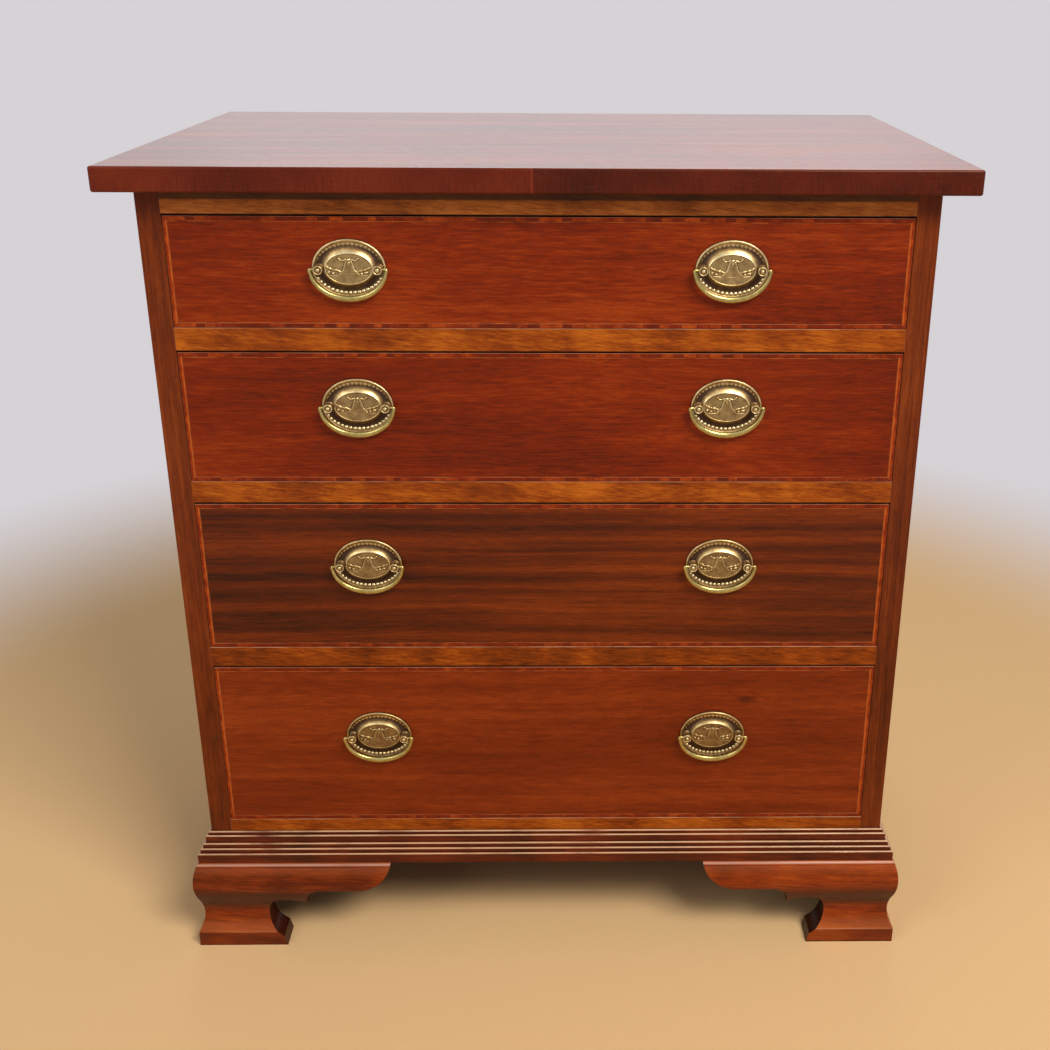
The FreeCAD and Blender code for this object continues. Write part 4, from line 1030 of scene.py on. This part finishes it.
def bail_line():
    """The wire's places and radii, as in BAIL_PIN, from pin to pin."""
    half = list(BAIL_PIN)
    for step in range(BOW_FIRST_STEP, BOW_STEPS + 1):
        angle = math.pi / 2 * step / BOW_STEPS
        across = BAIL_HALF_WIDTH * math.cos(angle)
        up = -BAIL_DROP * math.sin(angle)
        swell = math.sin(angle) ** 2
        half.append((across, up, 1.95 + 1.35 * swell, 2.0 + 0.5 * swell))
    mirrored = [(-across, up, wide, deep) for across, up, wide, deep in reversed(half[:-1])]
    return half + mirrored


def make_bail(number, side, material):
    """A bail that hangs from its two pins and leans back a little towards its plate."""
    line = bail_line()
    centre = HINGES[f"drawer_{number}_bail_{side}"]
    vertices = []
    for index, (across, up, wide, deep) in enumerate(line):
        before, after = line[max(index - 1, 0)], line[min(index + 1, len(line) - 1)]
        run = Vector((after[0] - before[0], 0, after[1] - before[1])).normalized()
        outward = Vector((-run.z, 0, run.x))
        middle = Vector((across, BAIL_LEAN * (up / BAIL_DROP) ** 2, up))
        for step in range(BAIL_SEGMENTS):
            angle = 2 * math.pi * step / BAIL_SEGMENTS
            offset = outward * (wide * math.cos(angle)) + Vector((0, deep * math.sin(angle), 0))
            vertices.append(centre + (middle + offset) * MM)
    faces = tube_faces(len(line), BAIL_SEGMENTS)
    return piece(f"drawer_{number}_cast_bail_{side}", vertices, faces, material)


# ---- dressing the frame


def dress_carcase():
    dress("top_board", top_material())
    dress("base_moulding", moulding_material())
    for side in SIDES:
        foot = foot_material(side)
        for end in ("front", "back"):
            dress(f"foot_{end}_{side}", foot)
    for index, side in enumerate(SIDES):
        panel = f"side_panel_{side}"
        soften(dress(f"front_stile_{side}", stile_material(side)), 0.6 * MM)
        soften(dress(panel, side_material(panel, 4.0 + 5.7 * index)), 0.6 * MM)
    for index, name in enumerate(RAILS):
        soften(dress(name, rail_material(name, 1.9 + 4.3 * index)), 0.5 * MM)
    low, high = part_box("back_boards")
    boards = (low.x, (high.x - low.x) / BACK_BOARDS)
    oak_deep = plain_wood("oak_runners", OAK, depth_grain, 8.0, 0.012)
    inside = (
        ("back_boards", plain_wood("pine_upright", PINE, upright_grain, 3.0, 0.02, boards), 1.0),
        ("dust_boards", plain_wood("pine_level", PINE, flat_grain, 6.0, 0.02), 0.5),
        ("bottom_board", plain_wood("pine_underside", SHADED_DUSTY_PINE, flat_grain, 11.0, 0.02), 0.5),
        ("drawer_runners", oak_deep, 0.8),
        ("drawer_stops", oak_deep, 0.5),
    )
    for name, material, width in inside:
        soften(dress(name, material), width * MM)


def dress_drawer(number, linings, brass, plate_brass):
    name = f"drawer_{number}"
    soften(dress(f"{name}_front", drawer_front_material(number)), 0.5 * MM)
    soften(dress(f"{name}_banding", banding_material(number)), 0.3 * MM)
    for part, (lining, width) in linings.items():
        soften(dress(f"{name}_{part}", lining), width * MM)
    plates = make_plates(number, plate_brass)
    posts = make_posts(number, plate_brass)
    for made, node in ((plates, f"{name}_backplates"), (posts, f"{name}_pull_bolts")):
        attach(made, name)
        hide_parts(node)
    for side in SIDES:
        body = f"{name}_bail_{side}"
        bail = make_bail(number, side, brass)
        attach(bail, body)
        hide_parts(body)


def dress_drawers():
    oak_sides = plain_wood("oak_sides", OAK, depth_grain, 2.2, 0.012)
    linings = {
        # each lining's wood, and how much its edges are softened
        "side_left": (oak_sides, 0.6),
        "side_right": (oak_sides, 0.6),
        "back": (plain_wood("oak_back", OAK, level_grain, 5.2, 0.012), 0.6),
        "bottom": (plain_wood("oak_bottom", OAK, flat_grain, 7.7, 0.016), 0.4),
    }
    brass = brass_material("antique_brass_plain", HANDLED_BRASS, 0.27, False)
    plate_brass = brass_material("antique_brass_cast", CAST_BRASS, 0.35, True)
    for number in DRAWERS:
        dress_drawer(number, linings, brass, plate_brass)


# ---- stage

# The camera is a fit to the photograph; its focal length and centre are in the photograph's pixels.
IMAGE = 1050
SENSOR = 36.0
FOCAL_PIXELS = 1291.12
CENTRE_PIXELS = (603.75, 475.63)
CAMERA_PLACE = Vector((0.04047, -1.52784, 1.10381))
PITCH, YAW, ROLL = 0.3687, -0.0188, 0.0073


def make_camera():
    data = bpy.data.cameras.new("camera")
    data.sensor_width = SENSOR
    data.lens = FOCAL_PIXELS / IMAGE * SENSOR
    data.shift_x = (IMAGE / 2 - CENTRE_PIXELS[0]) / IMAGE
    data.shift_y = (CENTRE_PIXELS[1] - IMAGE / 2) / IMAGE
    ahead = Vector((-math.sin(YAW), math.cos(YAW), 0))
    level = Vector((math.cos(YAW), math.sin(YAW), 0))
    forward = ahead * math.cos(PITCH) - Vector((0, 0, math.sin(PITCH)))
    upward = level.cross(forward)
    right = level * math.cos(ROLL) + upward * math.sin(ROLL)
    up = upward * math.cos(ROLL) - level * math.sin(ROLL)
    camera = bpy.data.objects.new("camera", data)
    turned = Matrix((right, up, -forward)).transposed().to_4x4()
    camera.matrix_world = Matrix.Translation(CAMERA_PLACE) @ turned
    bpy.context.scene.collection.objects.link(camera)
    bpy.context.scene.camera = camera


FLOOR_COLOUR = srgb(245, 202, 145)
FLOOR_FLECK = srgb(214, 170, 122)
FLOOR_REACH = 14.0
# How far from the chest's middle the floor starts to fade, and is gone.
FADE = (0.95, 1.75)
SURROUNDING_COLOUR = srgb(214, 210, 214)
FILL_COLOUR = srgb(226, 230, 238)
FILL_STRENGTH = 0.26
LAMPS = {
    # each lamp's place, target, size, power and colour
    "key": ((1.35, -2.05, 2.75), (0, -0.1, 0.5), (1.5, 1.0), 82, (1.0, 0.97, 0.93)),
    "fill": ((-1.9, -2.0, 2.2), (0, 0, 0.5), (1.6, 1.6), 19, (0.95, 0.97, 1.0)),
    "back": ((0.0, 2.6, 2.4), (0, 0, 0.9), (2.4, 1.2), 20, (0.97, 0.98, 1.0)),
}


def make_lamp(name, place, target, size, power, colour):
    data = bpy.data.lights.new(name, "AREA")
    data.shape = "RECTANGLE"
    data.size, data.size_y = size
    data.energy = power
    data.color = colour
    lamp = bpy.data.objects.new(name, data)
    lamp.location = place
    lamp.rotation_mode = "QUATERNION"
    lamp.rotation_quaternion = (Vector(target) - Vector(place)).to_track_quat("-Z", "Y")
    bpy.context.scene.collection.objects.link(lamp)


def shown_rays(tree):
    """A socket that is 1 for the rays that show the surrounding."""
    rays = tree.nodes.new("ShaderNodeLightPath").outputs
    shown = rays["Is Camera Ray"]
    for name in ("Is Glossy Ray", "Is Transmission Ray"):
        either = tree.nodes.new("ShaderNodeMath")
        either.operation = "MAXIMUM"
        tree.links.new(shown, either.inputs[0])
        tree.links.new(rays[name], either.inputs[1])
        shown = either.outputs[0]
    return shown


def make_floor():
    """A plain pale floor that fades into the surrounding."""
    paint = Paint("floor")
    grain = paint.noise(paint.place, 300.0, 3.0, 0.7)
    colour = paint.blend(grain * 0.14, FLOOR_COLOUR, FLOOR_FLECK)
    material = paint.finish(colour, 0.9, grain, 0.4 * MM, Specular_IOR_Level=0.1)
    surrounding = paint.node("ShaderNodeEmission")
    paint.feed(surrounding.inputs["Color"], SURROUNDING_COLOUR)
    faded = paint.node("ShaderNodeMixShader")
    share = paint.distance(paint.x, paint.y).rise(*FADE) * shown_rays(paint.tree)
    for socket, source in zip(faded.inputs, (share, paint.surface.outputs[0], surrounding.outputs[0])):
        paint.feed(socket, source)
    paint.feed(paint.output.inputs[0], faded.outputs[0])
    corners = [(x * FLOOR_REACH, y * FLOOR_REACH, 0) for x, y in ((-1, -1), (1, -1), (1, 1), (-1, 1))]
    floor = piece("floor", corners, [(0, 1, 2, 3)], material, False)


def make_surrounding():
    """The pale surrounding for the rays that show it, and a soft fill light for all others."""
    world = bpy.data.worlds.new("studio")
    bpy.context.scene.world = world
    world.use_nodes = True
    nodes, links = world.node_tree.nodes, world.node_tree.links
    nodes.clear()
    mix = nodes.new("ShaderNodeMixShader")
    links.new(shown_rays(world.node_tree), mix.inputs[0])
    for socket, colour, strength in (
        (mix.inputs[1], FILL_COLOUR, FILL_STRENGTH),
        (mix.inputs[2], SURROUNDING_COLOUR, 1.0),
    ):
        background = nodes.new("ShaderNodeBackground")
        background.inputs["Color"].default_value = colour
        background.inputs["Strength"].default_value = strength
        links.new(background.outputs[0], socket)
    links.new(mix.outputs[0], nodes.new("ShaderNodeOutputWorld").inputs[0])


def make_stage():
    make_floor()
    make_surrounding()
    for name, settings in LAMPS.items():
        make_lamp(name, *settings)


make_camera()
make_stage()
dress_carcase()
dress_drawers()
bpy.context.scene.view_settings.view_transform = "Standard"
